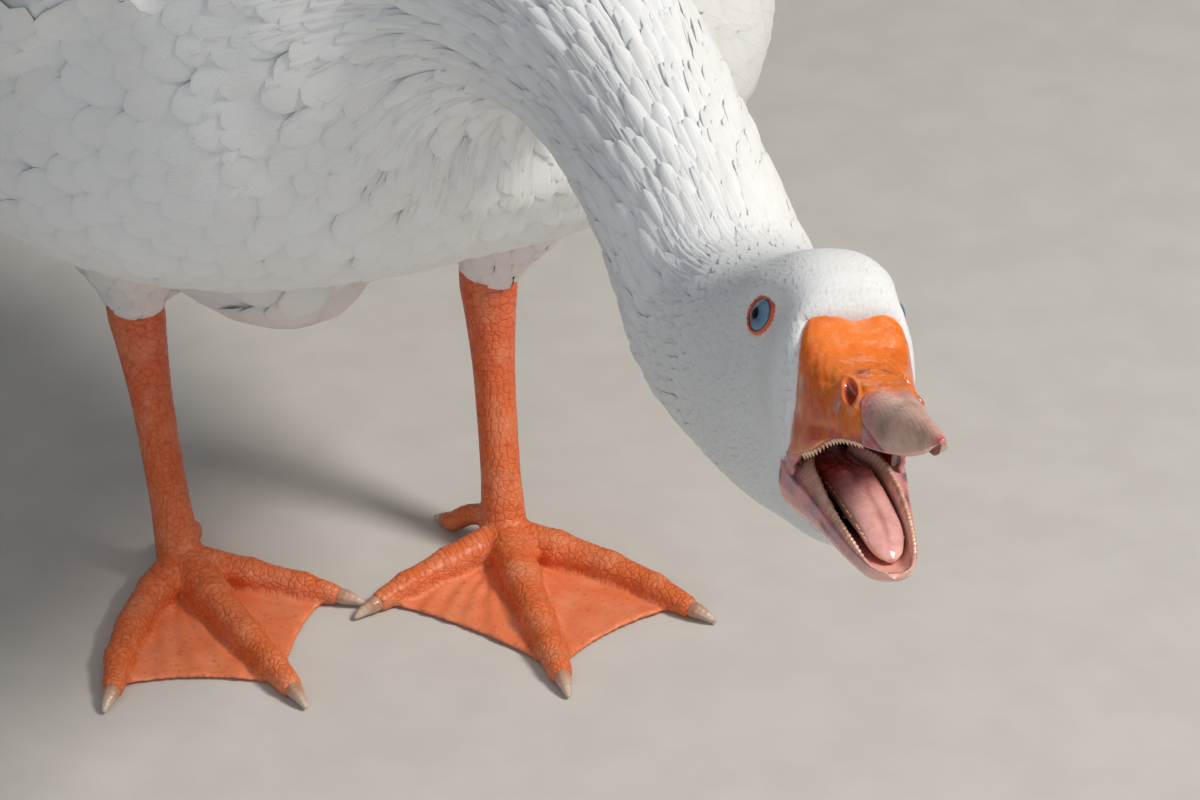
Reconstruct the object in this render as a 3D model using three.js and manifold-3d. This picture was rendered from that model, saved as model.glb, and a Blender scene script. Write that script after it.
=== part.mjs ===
// A domestic goose of the white farmyard kind, life size, standing with its neck stretched forward,
// its head raised and its bill open in a hiss. Millimetres, +X forward, +Y to the goose's left, +Z up.
// The goose is laid out from a point on the floor between its feet, and the finished group is moved
// so that the middle of its box, at floor level, is the origin.
import * as THREE from "three";
import { mergeVertices } from "three/addons/utils/BufferGeometryUtils.js";
import Module from "manifold-3d";

const wasm = await Module();
wasm.setup();

// ---------------------------------------------------------------- driving sizes

const GAP = 0.35; // clearance between neighbouring pieces
const degrees = THREE.MathUtils.degToRad;

// Rows of a loft: centre x, y, z, half width, height above and below the centre, and how square the
// upper and lower halves of the section are (2 is an ellipse).
const TRUNK_AND_NECK = [
  { at: [-214, -18, 334], wide: 28, up: 16, down: 28, square: [2.2, 2.2] },
  { at: [-184, -18, 323], wide: 70, up: 54, down: 78, square: [2.2, 2.3] },
  { at: [-130, -18, 308], wide: 112, up: 96, down: 112, square: [2.2, 3] },
  { at: [-66, -18, 300], wide: 140, up: 124, down: 126, square: [2.2, 4] },
  { at: [3, -18, 298], wide: 149, up: 136, down: 122, square: [2.2, 4.4] },
  { at: [77, -16, 304], wide: 144, up: 133, down: 117, square: [2.2, 4] },
  { at: [132, -14, 315], wide: 122, up: 110, down: 110, square: [2.2, 3.3] },
  { at: [172, -12, 326], wide: 87, up: 75, down: 90, square: [2.1, 2.6] },
  { at: [200, -10, 331], wide: 53, up: 47, down: 59, square: [2, 2.1] },
  { at: [230, -8, 328], wide: 35.5, up: 35.5, down: 36.5, square: [2, 2] },
  { at: [266, -5, 318], wide: 30, up: 31.5, down: 26.5, square: [2, 2] },
  { at: [302, -6, 306], wide: 28, up: 29.5, down: 26, square: [2, 2] },
];

// The head's own frame: origin midway between the eyes, X along the face, Z to the crown.
const HEAD = { at: [402.4, -7, 316.6], yaw: -5.5, pitch: 25.5, roll: -8.5, size: 0.966 };
const HEAD_ROWS = [
  { at: [-76, -4.5, 1], wide: 28, up: 28, down: 38, square: [2, 2] },
  { at: [-50, -1, -9], wide: 27.5, up: 27, down: 42.5, square: [2.1, 2.1] },
  { at: [-24, 0, -15], wide: 25.5, up: 31.4, down: 44, square: [2.5, 2.1] },
  { at: [0, 0, -18], wide: 21.6, up: 35.8, down: 42.5, square: [2.8, 2.2] },
  { at: [14, 0, -20], wide: 18.6, up: 31.2, down: 42, square: [2.8, 2.3] },
  { at: [25, 0, -22], wide: 15.6, up: 20, down: 41, square: [3.2, 2.4] },
  { at: [30, 0, -22], wide: 12, up: 12, down: 28, square: [3.2, 2.4] },
];

// Where the one long loft is parted into nodes, as places along its rows.
const NECK_STARTS = 8.7;
const HEAD_STARTS = 12.9;

// The face's edge against the bill, from above the forehead to below the chin, in the head's frame.
const FACE_LINE = [[24, 60], [19.6, 1], [21.4, -6], [22.3, -14], [21.6, -23], [18, -32], [14.8, -39],
  [14.4, -51], [17, -56], [22, -61], [34, -75]];

// The hollow behind the tongue.
const MOUTH_CAVE = { at: [20, 0, -44], pitch: -16, radii: [30, 12, 7] };

// The opening in the side of the head, the way it looks, the eyeball sunk in it and the bare rim.
const EYE = { at: [1.6, 20.4, -0.2], look: [0.28, 1, 0.28], radius: 8.5, sunk: 6.9 };
const EYE_RIM = { radius: 5.2, thick: 1.2 };

// Upper bill: the centre of each row is on the biting edge, and up reaches the ridge.
const UPPER_BILL = [
  { at: [8, 0, -39], wide: 17.4, up: 41, down: 3, square: [5, 2] },
  { at: [21.5, 0, -37.6], wide: 16.9, up: 37.4, down: 3, square: [6, 2] },
  { at: [30, 0, -35.8], wide: 15.6, up: 26.6, down: 2.6, square: [4.6, 2] },
  { at: [37, 0, -32.6], wide: 14, up: 20.4, down: 2.4, square: [3, 2] },
  { at: [45, 0, -31.4], wide: 12.6, up: 16.2, down: 2.2, square: [2.6, 2] },
  { at: [52, 0, -31.8], wide: 10.7, up: 14.4, down: 2.4, square: [2.4, 2] },
  { at: [60, 0, -32.6], wide: 9.3, up: 13.8, down: 2.4, square: [2.3, 2] },
  { at: [68, 0, -33], wide: 7.7, up: 12.8, down: 2.6, square: [2.2, 2] },
  { at: [77, 0, -32.8], wide: 5.6, up: 10.4, down: 3, square: [2.1, 2] },
  { at: [85, 0, -31.8], wide: 3.9, up: 7, down: 2.8, square: [2, 2] },
  { at: [90.5, 0, -30.6], wide: 2.1, up: 3.6, down: 1.8, square: [2, 2] },
  { at: [93, 0, -29.8], wide: 0.9, up: 1.1, down: 0.9, square: [2, 2] },
];
const PALATE = { rim: 2.4, share: 0.5, to: 8 };
const NAIL = { at: [85, 0, -24], radii: [36, 22, 11.8] };

// Lower bill, in a frame at the jaw's hinge that drops with the jaw.
const JAW = { at: [2, 0, -34.4], drop: 31.5 };
const LOWER_BILL = [
  { at: [2, 0, -1], wide: 17.4, up: 1.5, down: 20, square: [2, 2.6] },
  { at: [15, 0, -0.5], wide: 17.8, up: 1.5, down: 16.5, square: [2, 2.6] },
  { at: [28, 0, 0], wide: 15.2, up: 1.5, down: 12.5, square: [2, 2.5] },
  { at: [42, 0, 0], wide: 12.4, up: 1.5, down: 9, square: [2, 2.3] },
  { at: [52, 0, 0], wide: 10.2, up: 1.5, down: 6.8, square: [2, 2.1] },
  { at: [60, 0, 0], wide: 7.6, up: 1.5, down: 5, square: [2, 2] },
  { at: [64.5, 0, 0], wide: 3, up: 1, down: 2.2, square: [2, 2] },
];
const TROUGH = { rim: 2.6, floor: 2.6, to: 5.3 };
const TONGUE = [
  { at: [-4, 0, -8], wide: 6, up: 5, down: 4, square: [2, 2] },
  { at: [12, 0, -5], wide: 7.6, up: 5.2, down: 4.6, square: [2.3, 2] },
  { at: [30, 0, -3], wide: 7.2, up: 4.4, down: 4.2, square: [2.4, 2] },
  { at: [45, 0, -1.2], wide: 6.2, up: 3, down: 3, square: [2.3, 2] },
  { at: [53, 0, -1.2], wide: 4.2, up: 2, down: 2, square: [2, 2] },
  { at: [56.5, 0, -1.4], wide: 1.4, up: 0.8, down: 0.8, square: [2, 2] },
];

// The low paunch between and behind the legs.
const PAUNCH = { at: [-70, -21, 172], pitch: -11, radii: [128, 56, 68] };

const LEGS = [
  { name: "left", side: 1, foot: [24, 56], heading: -10, hock: [-4, 62, 100], spread: [44, 64] },
  { name: "right", side: -1, foot: [-8, -58], heading: 6, hock: [-38, -61, 98], spread: [44, 44] },
];
// Up the shank: the share of the way from the foot to the hock, and the half widths.
const SHANK = [
  { share: 0.09, wide: 9, deep: 9 },
  { share: 0.2, wide: 8, deep: 8.7 },
  { share: 0.34, wide: 7.4, deep: 8.2 },
  { share: 0.66, wide: 7.8, deep: 8.5 },
  { share: 0.88, wide: 9.6, deep: 10.8 },
  { share: 1, wide: 10.6, deep: 12 },
  { share: 1.16, wide: 9, deep: 10 },
];
// Up the feathered thigh: forward of the hock, outward and above it, and the half widths.
const THIGH = [
  { from: [0, 0, 5], wide: 12.6, deep: 14 },
  { from: [3, 1, 16], wide: 16, deep: 18 },
  { from: [8, 3, 38], wide: 26, deep: 31 },
  { from: [14, 6, 76], wide: 38, deep: 50 },
  { from: [22, 4, 138], wide: 40, deep: 60 },
];
const TOES = [
  { name: "outer", turn: -1, length: 80, root: 7.4, bow: 6 },
  { name: "middle", turn: 0, length: 88, root: 8, bow: 0 },
  { name: "inner", turn: 1, length: 60, root: 7, bow: 2 },
];
// Along a toe: share of its length, height of its middle, and thickness as a share of its root's.
const TOE_ROWS = [[-0.06, 7, 1], [0.1, 7, 1], [0.4, 5.4, 0.82], [0.7, 4.4, 0.7], [0.94, 3.6, 0.58],
  [1, 3.2, 0.46]];
// Along a claw: how far past the toe's end, height of its middle, and radius.
const CLAW_ROWS = [[-2, 3.4, 2.8], [1.5, 3.3, 3.1], [6, 2.6, 1.9], [10, 1.4, 0.75]];
// Along the hind toe and its claw: behind the heel, inward of it, height and radius.
const HIND_TOE = [[4, 3, 15, 4], [14, 8, 11, 4], [22, 11.5, 4.4, 3.8], [27, 13, 2.6, 3]];
const HIND_CLAW = [[25, 12.5, 3.4, 2], [28, 13.4, 2.5, 2.2], [32, 15, 1.4, 0.9]];
const WEB = { thick: 2.2, reach: 0.92, sag: 0.86, heel: 6 };

const WING_COVER = [
  { at: [-314, -18, 360], wide: 20, up: 12, down: 10, square: [2, 2] },
  { at: [-260, -18, 350], wide: 50, up: 38, down: 34, square: [2, 2] },
  { at: [-194, -18, 334], wide: 92, up: 70, down: 68, square: [2.1, 2.2] },
  { at: [-134, -18, 314], wide: 122, up: 101, down: 106, square: [2.2, 2.4] },
  { at: [-66, -18, 300], wide: 150, up: 134, down: 130, square: [2.2, 2.6] },
  { at: [3, -18, 298], wide: 159, up: 146, down: 133, square: [2.2, 2.8] },
  { at: [77, -16, 304], wide: 154, up: 142, down: 124, square: [2.2, 2.8] },
  { at: [132, -14, 315], wide: 132, up: 119, down: 108, square: [2.2, 2.6] },
  { at: [168, -12, 325], wide: 100, up: 84, down: 84, square: [2.1, 2.3] },
];
// The folded wing seen from the side: its leading edge, then round by the top and the tip.
const WING_SIDE = [[162, 326], [144, 390], [60, 434], [-46, 430], [-154, 398], [-252, 374], [-314, 364],
  [-310, 352], [-252, 336], [-174, 304], [-76, 278], [32, 272], [120, 290]];
const WING_APART = 5;
const MIDLINE = -18; // the trunk leans this far to the right of the feet

// How finely each form is faceted: steps along it and steps round it.
const FACETS = {
  trunk: { rows: 18, around: 24 },
  neck: { rows: 11, around: 20 },
  head: { rows: 12, around: 20 },
  upperBill: { rows: 13, around: 18 },
  palate: { rows: 9, around: 12 },
  lowerBill: { rows: 9, around: 16 },
  trough: { rows: 8, around: 12 },
  tongue: { rows: 8, around: 12 },
  thigh: { rows: 7, around: 12 },
  shank: { rows: 8, around: 9 },
  toe: { rows: 4, around: 7 },
  claw: { rows: 4, around: 6 },
  tail: { rows: 8, around: 14 },
  wing: { rows: 11, around: 20 },
};

const TAIL = [
  { at: [-346, -18, 354], wide: 40, up: 1, down: 1, square: [2.4, 2.4] },
  { at: [-338, -18, 353], wide: 53, up: 2, down: 2, square: [2.4, 2.4] },
  { at: [-294, -18, 348], wide: 56, up: 5, down: 6, square: [2.2, 2.2] },
  { at: [-250, -18, 340], wide: 50, up: 13, down: 18, square: [2, 2] },
  { at: [-190, -18, 330], wide: 40, up: 22, down: 26, square: [2, 2] },
];

// ---------------------------------------------------------------- solids

// A three.js geometry as a manifold solid, and back.
function solid(geometry) {
  const bare = geometry.index ? geometry.toNonIndexed() : geometry.clone();
  bare.deleteAttribute("normal");
  bare.deleteAttribute("uv");
  const merged = mergeVertices(bare, 1e-4);
  return new wasm.Manifold(
    new wasm.Mesh({
      numProp: 3,
      vertProperties: merged.attributes.position.array,
      triVerts: new Uint32Array(merged.index.array),
    }),
  );
}

function geometryOf(form) {
  const mesh = form.getMesh();
  const places = new Float32Array(mesh.numVert * 3);
  for (let i = 0; i < mesh.numVert; i++)
    places.set(mesh.vertProperties.subarray(i * mesh.numProp, i * mesh.numProp + 3), i * 3);
  return new THREE.BufferGeometry()
    .setAttribute("position", new THREE.BufferAttribute(places, 3))
    .setIndex(new THREE.BufferAttribute(mesh.triVerts, 1));
}

// A closed grid: rows of points round a form, closed by a fan at each end.
function closedGrid(rows, around, pointAt) {
  const points = [];
  const faces = [];
  for (let i = 0; i <= rows; i++)
    for (let j = 0; j < around; j++) points.push(pointAt(i / rows, (2 * Math.PI * j) / around));
  const ring = (i, j) => i * around + (j % around);
  for (let i = 0; i < rows; i++)
    for (let j = 0; j < around; j++)
      faces.push(
        [ring(i, j), ring(i, j + 1), ring(i + 1, j)],
        [ring(i, j + 1), ring(i + 1, j + 1), ring(i + 1, j)],
      );
  for (const row of [0, rows]) {
    const middle = new THREE.Vector3();
    for (let j = 0; j < around; j++) middle.add(points[ring(row, j)]);
    const hub = points.push(middle.divideScalar(around)) - 1;
    for (let j = 0; j < around; j++) {
      const edge = [ring(row, j), ring(row, j + 1)];
      faces.push(row ? [hub, ...edge] : [hub, ...edge.reverse()]);
    }
  }
  const geometry = new THREE.BufferGeometry().setFromPoints(points).setIndex(faces.flat());
  const form = solid(geometry);
  return form.volume() > 0 ? form : solid(geometry.setIndex(faces.map((f) => f.reverse()).flat()));
}

// A loft through rows, with its sections square to the line of centres.
class Loft {
  constructor(rows, { upright = false } = {}) {
    this.upright = upright;
    const through = (pick) => {
      const points = rows.map((row) => new THREE.Vector3(...pick(row)));
      return new THREE.CatmullRomCurve3(points, false, "catmullrom", 0.5);
    };
    this.last = rows.length - 1;
    this.centre = through((row) => row.at);
    this.girth = through((row) => [row.wide, row.up, row.down]);
    this.square = through((row) => [...row.square, 0]);
    this.crown = through((row) => row.crown ?? [0, 0, 1]);
  }

  // The point at a place along the rows and an angle round the section, from the top to the left.
  point(place, angle, grow = 0) {
    const t = THREE.MathUtils.clamp(place / this.last, 0, 1);
    const forward = this.upright ? new THREE.Vector3(1, 0, 0) : this.centre.getTangent(t);
    const up = this.crown.getPoint(t);
    up.addScaledVector(forward, -up.dot(forward)).normalize();
    const left = new THREE.Vector3().crossVectors(up, forward);
    const girth = this.girth.getPoint(t);
    const square = this.square.getPoint(t);
    const [c, s] = [Math.cos(angle), Math.sin(angle)];
    const power = 2 / (c > 0 ? square.x : square.y);
    const tall = (c > 0 ? girth.y : girth.z) + grow;
    return this.centre
      .getPoint(t)
      .addScaledVector(up, tall * Math.sign(c) * Math.abs(c) ** power)
      .addScaledVector(left, (girth.x + grow) * Math.sign(s) * Math.abs(s) ** power);
  }

  solid({ from = 0, to = this.last, rows, around, grow = 0 }) {
    return closedGrid(rows, around, (t, angle) => this.point(from + (to - from) * t, angle, grow));
  }
}

const placed = (geometry, x, y, z) => geometry.translate(x, y, z);

function ellipsoid([x, y, z], [rx, ry, rz], around = 24) {
  return solid(placed(new THREE.SphereGeometry(1, around, around / 2).scale(rx, ry, rz), x, y, z));
}

// A flat outline in x and one other axis, thickened both ways along the third.
function slab(outline, halfThick) {
  const shape = new THREE.Shape(outline.map(([x, y]) => new THREE.Vector2(x, y)));
  const geometry = new THREE.ExtrudeGeometry(shape, { depth: 2 * halfThick, bevelEnabled: false });
  return solid(geometry.translate(0, 0, -halfThick));
}

// The same outline standing up: its second axis becomes Z, and its thickness runs along Y.
function standingSlab(outline, halfThick) {
  return slab(outline, halfThick).transform(new THREE.Matrix4().makeRotationX(Math.PI / 2).toArray());
}

// The biggest of the bodies that a cut leaves.
const biggest = (form) => form.decompose().sort((a, b) => b.volume() - a.volume())[0];
const moved = (form, matrix) => form.transform(matrix.toArray());
const FAR = 1000; // beyond the goose every way
const aboveFloor = solid(placed(new THREE.BoxGeometry(2 * FAR, 2 * FAR, FAR), 0, 0, FAR / 2));

// ---------------------------------------------------------------- frames and the group

function frameOf({ at, yaw = 0, pitch = 0, roll = 0, size = 1 }) {
  const turn = new THREE.Euler(degrees(roll), degrees(-pitch), degrees(yaw), "ZYX");
  const scale = new THREE.Vector3(size, size, size);
  return new THREE.Matrix4().makeRotationFromEuler(turn).scale(scale).setPosition(...at);
}

const headFrame = frameOf(HEAD);

const goose = new THREE.Group();

function add(name, form, { colour, roughness = 0.6 }) {
  const mesh = new THREE.Mesh(
    geometryOf(biggest(form)),
    new THREE.MeshStandardMaterial({ color: colour, roughness, metalness: 0 }),
  );
  mesh.name = name;
  goose.add(mesh);
}

const PLUMAGE = { colour: "#f2f1ec", roughness: 0.9 };
const BILL = { colour: "#e8650c", roughness: 0.35 };
const NAIL_HORN = { colour: "#e3b5a0", roughness: 0.4 };
const MOUTH = { colour: "#e29a94", roughness: 0.3 };
const LID = { colour: "#d9481a", roughness: 0.4 };
const EYEBALL = { colour: "#4f83b4", roughness: 0.05 };
const LEG = { colour: "#e5602d", roughness: 0.5 };
const CLAW_HORN = { colour: "#e0c2ae", roughness: 0.45 };

// ---------------------------------------------------------------- trunk, neck and head

const crown = new THREE.Vector3().setFromMatrixColumn(headFrame, 2).toArray();
const body = new Loft([
  ...TRUNK_AND_NECK,
  ...HEAD_ROWS.map((row) => ({
    ...row,
    at: new THREE.Vector3(...row.at).applyMatrix4(headFrame).toArray(),
    crown,
  })),
]);
const cut = 0.013; // how far apart two nodes start along the rows, about one GAP

function trunkForm(grow) {
  return body
    .solid({ to: NECK_STARTS, ...FACETS.trunk, grow })
    .add(moved(ellipsoid([0, 0, 0], PAUNCH.radii.map((r) => r + grow), 14), frameOf(PAUNCH)));
}
const trunk = trunkForm(0);
const trunkClear = trunkForm(GAP);
add("trunk", trunk, PLUMAGE);
add("neck", body.solid({ from: NECK_STARTS + cut, to: HEAD_STARTS, ...FACETS.neck }), PLUMAGE);

const eyes = [-1, 1].map((side) => ({ name: side > 0 ? "left" : "right", side }));

function eyeball({ side }, grow) {
  const [x, y, z] = EYE.at;
  const look = new THREE.Vector3(...EYE.look).normalize().multiplyScalar(-EYE.sunk);
  const r = EYE.radius + grow;
  return ellipsoid([x + look.x, side * (y + look.y), z + look.z], [r, r, r], 12);
}

// The ring of bare skin round the eye, lying on the head's side.
function eyelid({ side }, grow) {
  const [x, y, z] = EYE.at;
  const look = new THREE.Vector3(EYE.look[0], side * EYE.look[1], EYE.look[2]).normalize();
  const turn = new THREE.Quaternion().setFromUnitVectors(new THREE.Vector3(0, 0, 1), look);
  const ring = new THREE.TorusGeometry(EYE_RIM.radius, EYE_RIM.thick + grow, 6, 12).applyQuaternion(turn);
  return solid(placed(ring, x, side * y, z));
}

// What lies in front of the line between the feathers and the bill.
const farAhead = [[300, -100], [300, 60]];
const face = (shift) =>
  standingSlab([...FACE_LINE.map(([x, z]) => [x + shift, z]), ...farAhead], 80);
const mouthCave = moved(ellipsoid([0, 0, 0], MOUTH_CAVE.radii, 12), frameOf(MOUTH_CAVE));

let head = moved(body.solid({ from: HEAD_STARTS + cut, ...FACETS.head }), headFrame.clone().invert());
head = head.subtract(face(0)).subtract(mouthCave);
for (const eye of eyes) {
  head = head.subtract(eyeball(eye, GAP)).subtract(eyelid(eye, GAP));
  add(`eye_${eye.name}`, moved(eyeball(eye, 0), headFrame), EYEBALL);
  add(`eyelid_${eye.name}`, moved(eyelid(eye, 0).subtract(eyeball(eye, GAP)), headFrame), LID);
}

// ---------------------------------------------------------------- bill and tongue

// The same rows made into the hollow that is taken out of a bill.
const upright = { upright: true };
const hollowed = (rows, change) => new Loft(rows.map((row) => ({ ...row, ...change(row) })), upright);

const palate = hollowed(UPPER_BILL, ({ at: [x, y, z], wide, up }) => ({
  at: [x, y, z - 2],
  wide: Math.max(wide - PALATE.rim, 0.6),
  up: Math.max(up * PALATE.share, 0.6),
  down: 8,
}));
const trough = hollowed(LOWER_BILL, ({ at: [x, y, z], wide, down }) => ({
  at: [x, y, z + 2],
  wide: Math.max(wide - TROUGH.rim, 0.5),
  up: 8,
  down: Math.max(down - TROUGH.floor + 2, 0.5),
}));
const upperOuter = new Loft(UPPER_BILL, upright).solid(FACETS.upperBill);
const lowerOuter = new Loft(LOWER_BILL, upright).solid(FACETS.lowerBill);
const jawInHead = frameOf({ at: JAW.at, pitch: -JAW.drop });

const upper = upperOuter.intersect(face(GAP)).subtract(palate.solid({ to: PALATE.to, ...FACETS.palate }));
const nailZone = (grow) => ellipsoid(NAIL.at, NAIL.radii.map((r) => r + grow), 12);
add("bill_upper", moved(upper.subtract(nailZone(GAP)), headFrame), BILL);
add("nail", moved(upper.intersect(nailZone(0)), headFrame), NAIL_HORN);

const lower = lowerOuter.subtract(trough.solid({ to: TROUGH.to, ...FACETS.trough }));
const lowerBill = moved(lower, jawInHead).intersect(face(GAP));
add("bill_lower", moved(lowerBill, headFrame), BILL);

const tongueLoft = new Loft(TONGUE, upright);
const tongue = (grow) => moved(tongueLoft.solid({ ...FACETS.tongue, grow }), jawInHead);
head = head.subtract(tongue(GAP));
add("tongue", moved(tongue(0), headFrame), MOUTH);
add("head", moved(head, headFrame), PLUMAGE);

// ---------------------------------------------------------------- legs

const ELLIPSE = [2, 2];
const BACKWARD = [-1, 0, 0.2]; // the crown of a section that is stacked up a leg

const upLeg = ({ at, wide, deep }) => ({ at, wide, up: deep, down: deep, square: ELLIPSE, crown: BACKWARD });
const round = (at, r) => ({ at, wide: r, up: r, down: r, square: ELLIPSE });

function thighOf({ side, hock }) {
  const rows = THIGH.map(({ from: [x, y, z], ...row }) =>
    upLeg({ ...row, at: [hock[0] + x, hock[1] + side * y, hock[2] + z] }));
  return (grow) => new Loft(rows).solid({ ...FACETS.thigh, grow });
}

function shankOf({ foot, hock }) {
  const heel = new THREE.Vector3(...foot, 0);
  const top = new THREE.Vector3(...hock);
  const upTo = (share) => heel.clone().lerp(top, share).toArray();
  const rows = SHANK.map(({ share, ...row }) => upLeg({ ...row, at: upTo(share) }));
  return (grow) => new Loft(rows).solid({ ...FACETS.shank, grow });
}

// A toe of one leg, with its claw, and where it is at a share of its length.
function toeOf({ side, foot, heading, spread }, toe) {
  const angle = degrees(heading - side * toe.turn * spread[toe.turn > 0 ? 1 : 0]);
  const along = new THREE.Vector3(Math.cos(angle), Math.sin(angle), 0);
  const aside = new THREE.Vector3(along.y, -along.x, 0).multiplyScalar(side * toe.turn * toe.bow);
  const point = (share) =>
    new THREE.Vector3(...foot, 0)
      .addScaledVector(along, share * toe.length)
      .addScaledVector(aside, Math.sin(Math.PI * Math.min(share, 1)));
  const at = (share, z) => point(share).setZ(z).toArray();
  const toeLoft = new Loft(TOE_ROWS.map(([share, z, thick]) => round(at(share, z), thick * toe.root)));
  const clawLoft = new Loft(CLAW_ROWS.map(([past, z, r]) => round(at(1 + past / toe.length, z), r)));
  return {
    name: toe.name,
    point,
    form: toeLoft.solid(FACETS.toe),
    claw: (grow) => clawLoft.solid({ ...FACETS.claw, grow }),
  };
}

function hindToeOf({ side, foot: [x, y] }) {
  const loft = (rows) =>
    new Loft(rows.map(([behind, inward, z, r]) => round([x - behind, y - side * inward, z], r)));
  return {
    name: "hind",
    form: loft(HIND_TOE).solid(FACETS.toe),
    claw: (grow) => loft(HIND_CLAW).solid({ ...FACETS.claw, grow }),
  };
}

// The web: a thin sheet from the heel to the toes, its front edge curving in between them.
function webOf({ foot }, toes) {
  const root = new THREE.Vector3(...foot, 0);
  const heel = toes[1].point(0).lerp(toes[1].point(1), -WEB.heel / TOES[1].length);
  const ends = toes.map((toe) => toe.point(WEB.reach));
  const outline = new THREE.Shape().moveTo(heel.x, heel.y).lineTo(ends[0].x, ends[0].y);
  for (const [i, end] of ends.slice(1).entries()) {
    const pull = ends[i].clone().add(end).multiplyScalar(0.5).lerp(root, 1 - WEB.sag);
    outline.quadraticCurveTo(pull.x, pull.y, end.x, end.y);
  }
  const sheet = { depth: WEB.thick, bevelEnabled: false, curveSegments: 4 };
  return solid(new THREE.ExtrudeGeometry(outline.closePath(), sheet));
}

for (const leg of LEGS) {
  const thigh = thighOf(leg);
  const shank = shankOf(leg);
  const toes = TOES.map((toe) => toeOf(leg, toe));
  add(`thigh_${leg.name}`, thigh(0).subtract(trunkClear), PLUMAGE);
  add(`shank_${leg.name}`, shank(0).subtract(thigh(GAP)), LEG);
  let foot = webOf(leg, toes);
  const allToes = [...toes, hindToeOf(leg)];
  for (const toe of allToes) foot = foot.add(toe.form);
  foot = foot.intersect(aboveFloor).subtract(shank(GAP));
  for (const toe of allToes) {
    foot = foot.subtract(toe.claw(GAP));
    add(`claw_${leg.name}_${toe.name}`, toe.claw(0).intersect(aboveFloor), CLAW_HORN);
  }
  add(`foot_${leg.name}`, foot, LEG);
}

// ---------------------------------------------------------------- wings and tail

const tailLoft = new Loft(TAIL);
const tail = (grow) => tailLoft.solid({ ...FACETS.tail, grow });
add("tail", tail(0).subtract(trunkClear), PLUMAGE);

const cover = new Loft(WING_COVER).solid(FACETS.wing);
const sideCut = standingSlab(WING_SIDE, FAR);
for (const side of [-1, 1]) {
  const halfSpace = new THREE.BoxGeometry(2 * FAR, FAR, 2 * FAR);
  const half = solid(placed(halfSpace, 0, MIDLINE + side * (FAR / 2 + WING_APART), 0));
  const wing = cover.intersect(sideCut).intersect(half).subtract(trunkClear).subtract(tail(GAP));
  add(side > 0 ? "wing_left" : "wing_right", wing, PLUMAGE);
}

// ---------------------------------------------------------------- the part's frame

const box = new THREE.Box3().setFromObject(goose, true);
const middle = box.getCenter(new THREE.Vector3());
goose.position.set(-middle.x, -middle.y, -box.min.z);

export default goose;
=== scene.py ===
"""A white farmyard goose, life size: its skin, feathers, bill, eyes, legs and the stage it stands on."""
import functools
import math

import bpy
import numpy as np
from bpy.props import FloatProperty, IntProperty, PointerProperty
from bpy.types import Operator, Panel, PropertyGroup
from mathutils import Euler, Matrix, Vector
from mathutils.bvhtree import BVHTree


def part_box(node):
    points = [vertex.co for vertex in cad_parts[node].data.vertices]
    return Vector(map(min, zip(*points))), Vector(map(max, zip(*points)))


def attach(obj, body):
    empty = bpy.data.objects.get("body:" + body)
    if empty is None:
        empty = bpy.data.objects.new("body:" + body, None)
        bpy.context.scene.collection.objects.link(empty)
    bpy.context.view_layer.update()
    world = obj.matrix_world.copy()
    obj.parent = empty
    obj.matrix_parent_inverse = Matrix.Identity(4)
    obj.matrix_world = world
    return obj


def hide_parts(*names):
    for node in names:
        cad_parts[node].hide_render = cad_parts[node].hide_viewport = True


bl_info = {
    "name": "Farmyard Goose",
    "version": (1, 0, 0),
    "blender": (4, 5, 0),
    "location": "View3D > Sidebar > Goose",
    "description": "Dresses the solid goose in skin, feathers, horn and eyes, and sets its stage",
    "category": "Object",
}

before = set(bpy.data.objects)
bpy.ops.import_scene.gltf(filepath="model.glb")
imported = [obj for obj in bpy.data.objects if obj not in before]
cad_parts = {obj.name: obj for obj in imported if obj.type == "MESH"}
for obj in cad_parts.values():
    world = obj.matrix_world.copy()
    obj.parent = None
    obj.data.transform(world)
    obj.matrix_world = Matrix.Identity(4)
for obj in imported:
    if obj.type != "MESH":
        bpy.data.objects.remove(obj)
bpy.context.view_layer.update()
MM = 0.001

# ---------------------------------------------------------------- sizes that the solids have too, in mm

# Each row: centre x, y, z, half width, height above and below, squareness above and below.
TRUNK_AND_NECK = (
    (-214, -18, 334, 28, 16, 28, 2.2, 2.2),
    (-184, -18, 323, 70, 54, 78, 2.2, 2.3),
    (-130, -18, 308, 112, 96, 112, 2.2, 3),
    (-66, -18, 300, 140, 124, 126, 2.2, 4),
    (3, -18, 298, 149, 136, 122, 2.2, 4.4),
    (77, -16, 304, 144, 133, 117, 2.2, 4),
    (132, -14, 315, 122, 110, 110, 2.2, 3.3),
    (172, -12, 326, 87, 75, 90, 2.1, 2.6),
    (200, -10, 331, 53, 47, 59, 2, 2.1),
    (230, -8, 328, 35.5, 35.5, 36.5, 2, 2),
    (266, -5, 318, 30, 31.5, 26.5, 2, 2),
    (302, -6, 306, 28, 29.5, 26, 2, 2),
)
HEAD_ROWS = (
    (-76, -4.5, 1, 28, 28, 38, 2, 2),
    (-50, -1, -9, 27.5, 27, 42.5, 2.1, 2.1),
    (-24, 0, -15, 25.5, 31.4, 44, 2.5, 2.1),
    (0, 0, -18, 21.6, 35.8, 42.5, 2.8, 2.2),
    (14, 0, -20, 18.6, 31.2, 42, 2.8, 2.3),
    (25, 0, -22, 15.6, 20, 41, 3.2, 2.4),
    (30, 0, -22, 12, 12, 28, 3.2, 2.4),
)
HEAD_AT = (402.4, -7, 316.6)
HEAD_TURN = {"yaw": -5.5, "pitch": 25.5, "roll": -8.5}
HEAD_SIZE = 0.966
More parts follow.
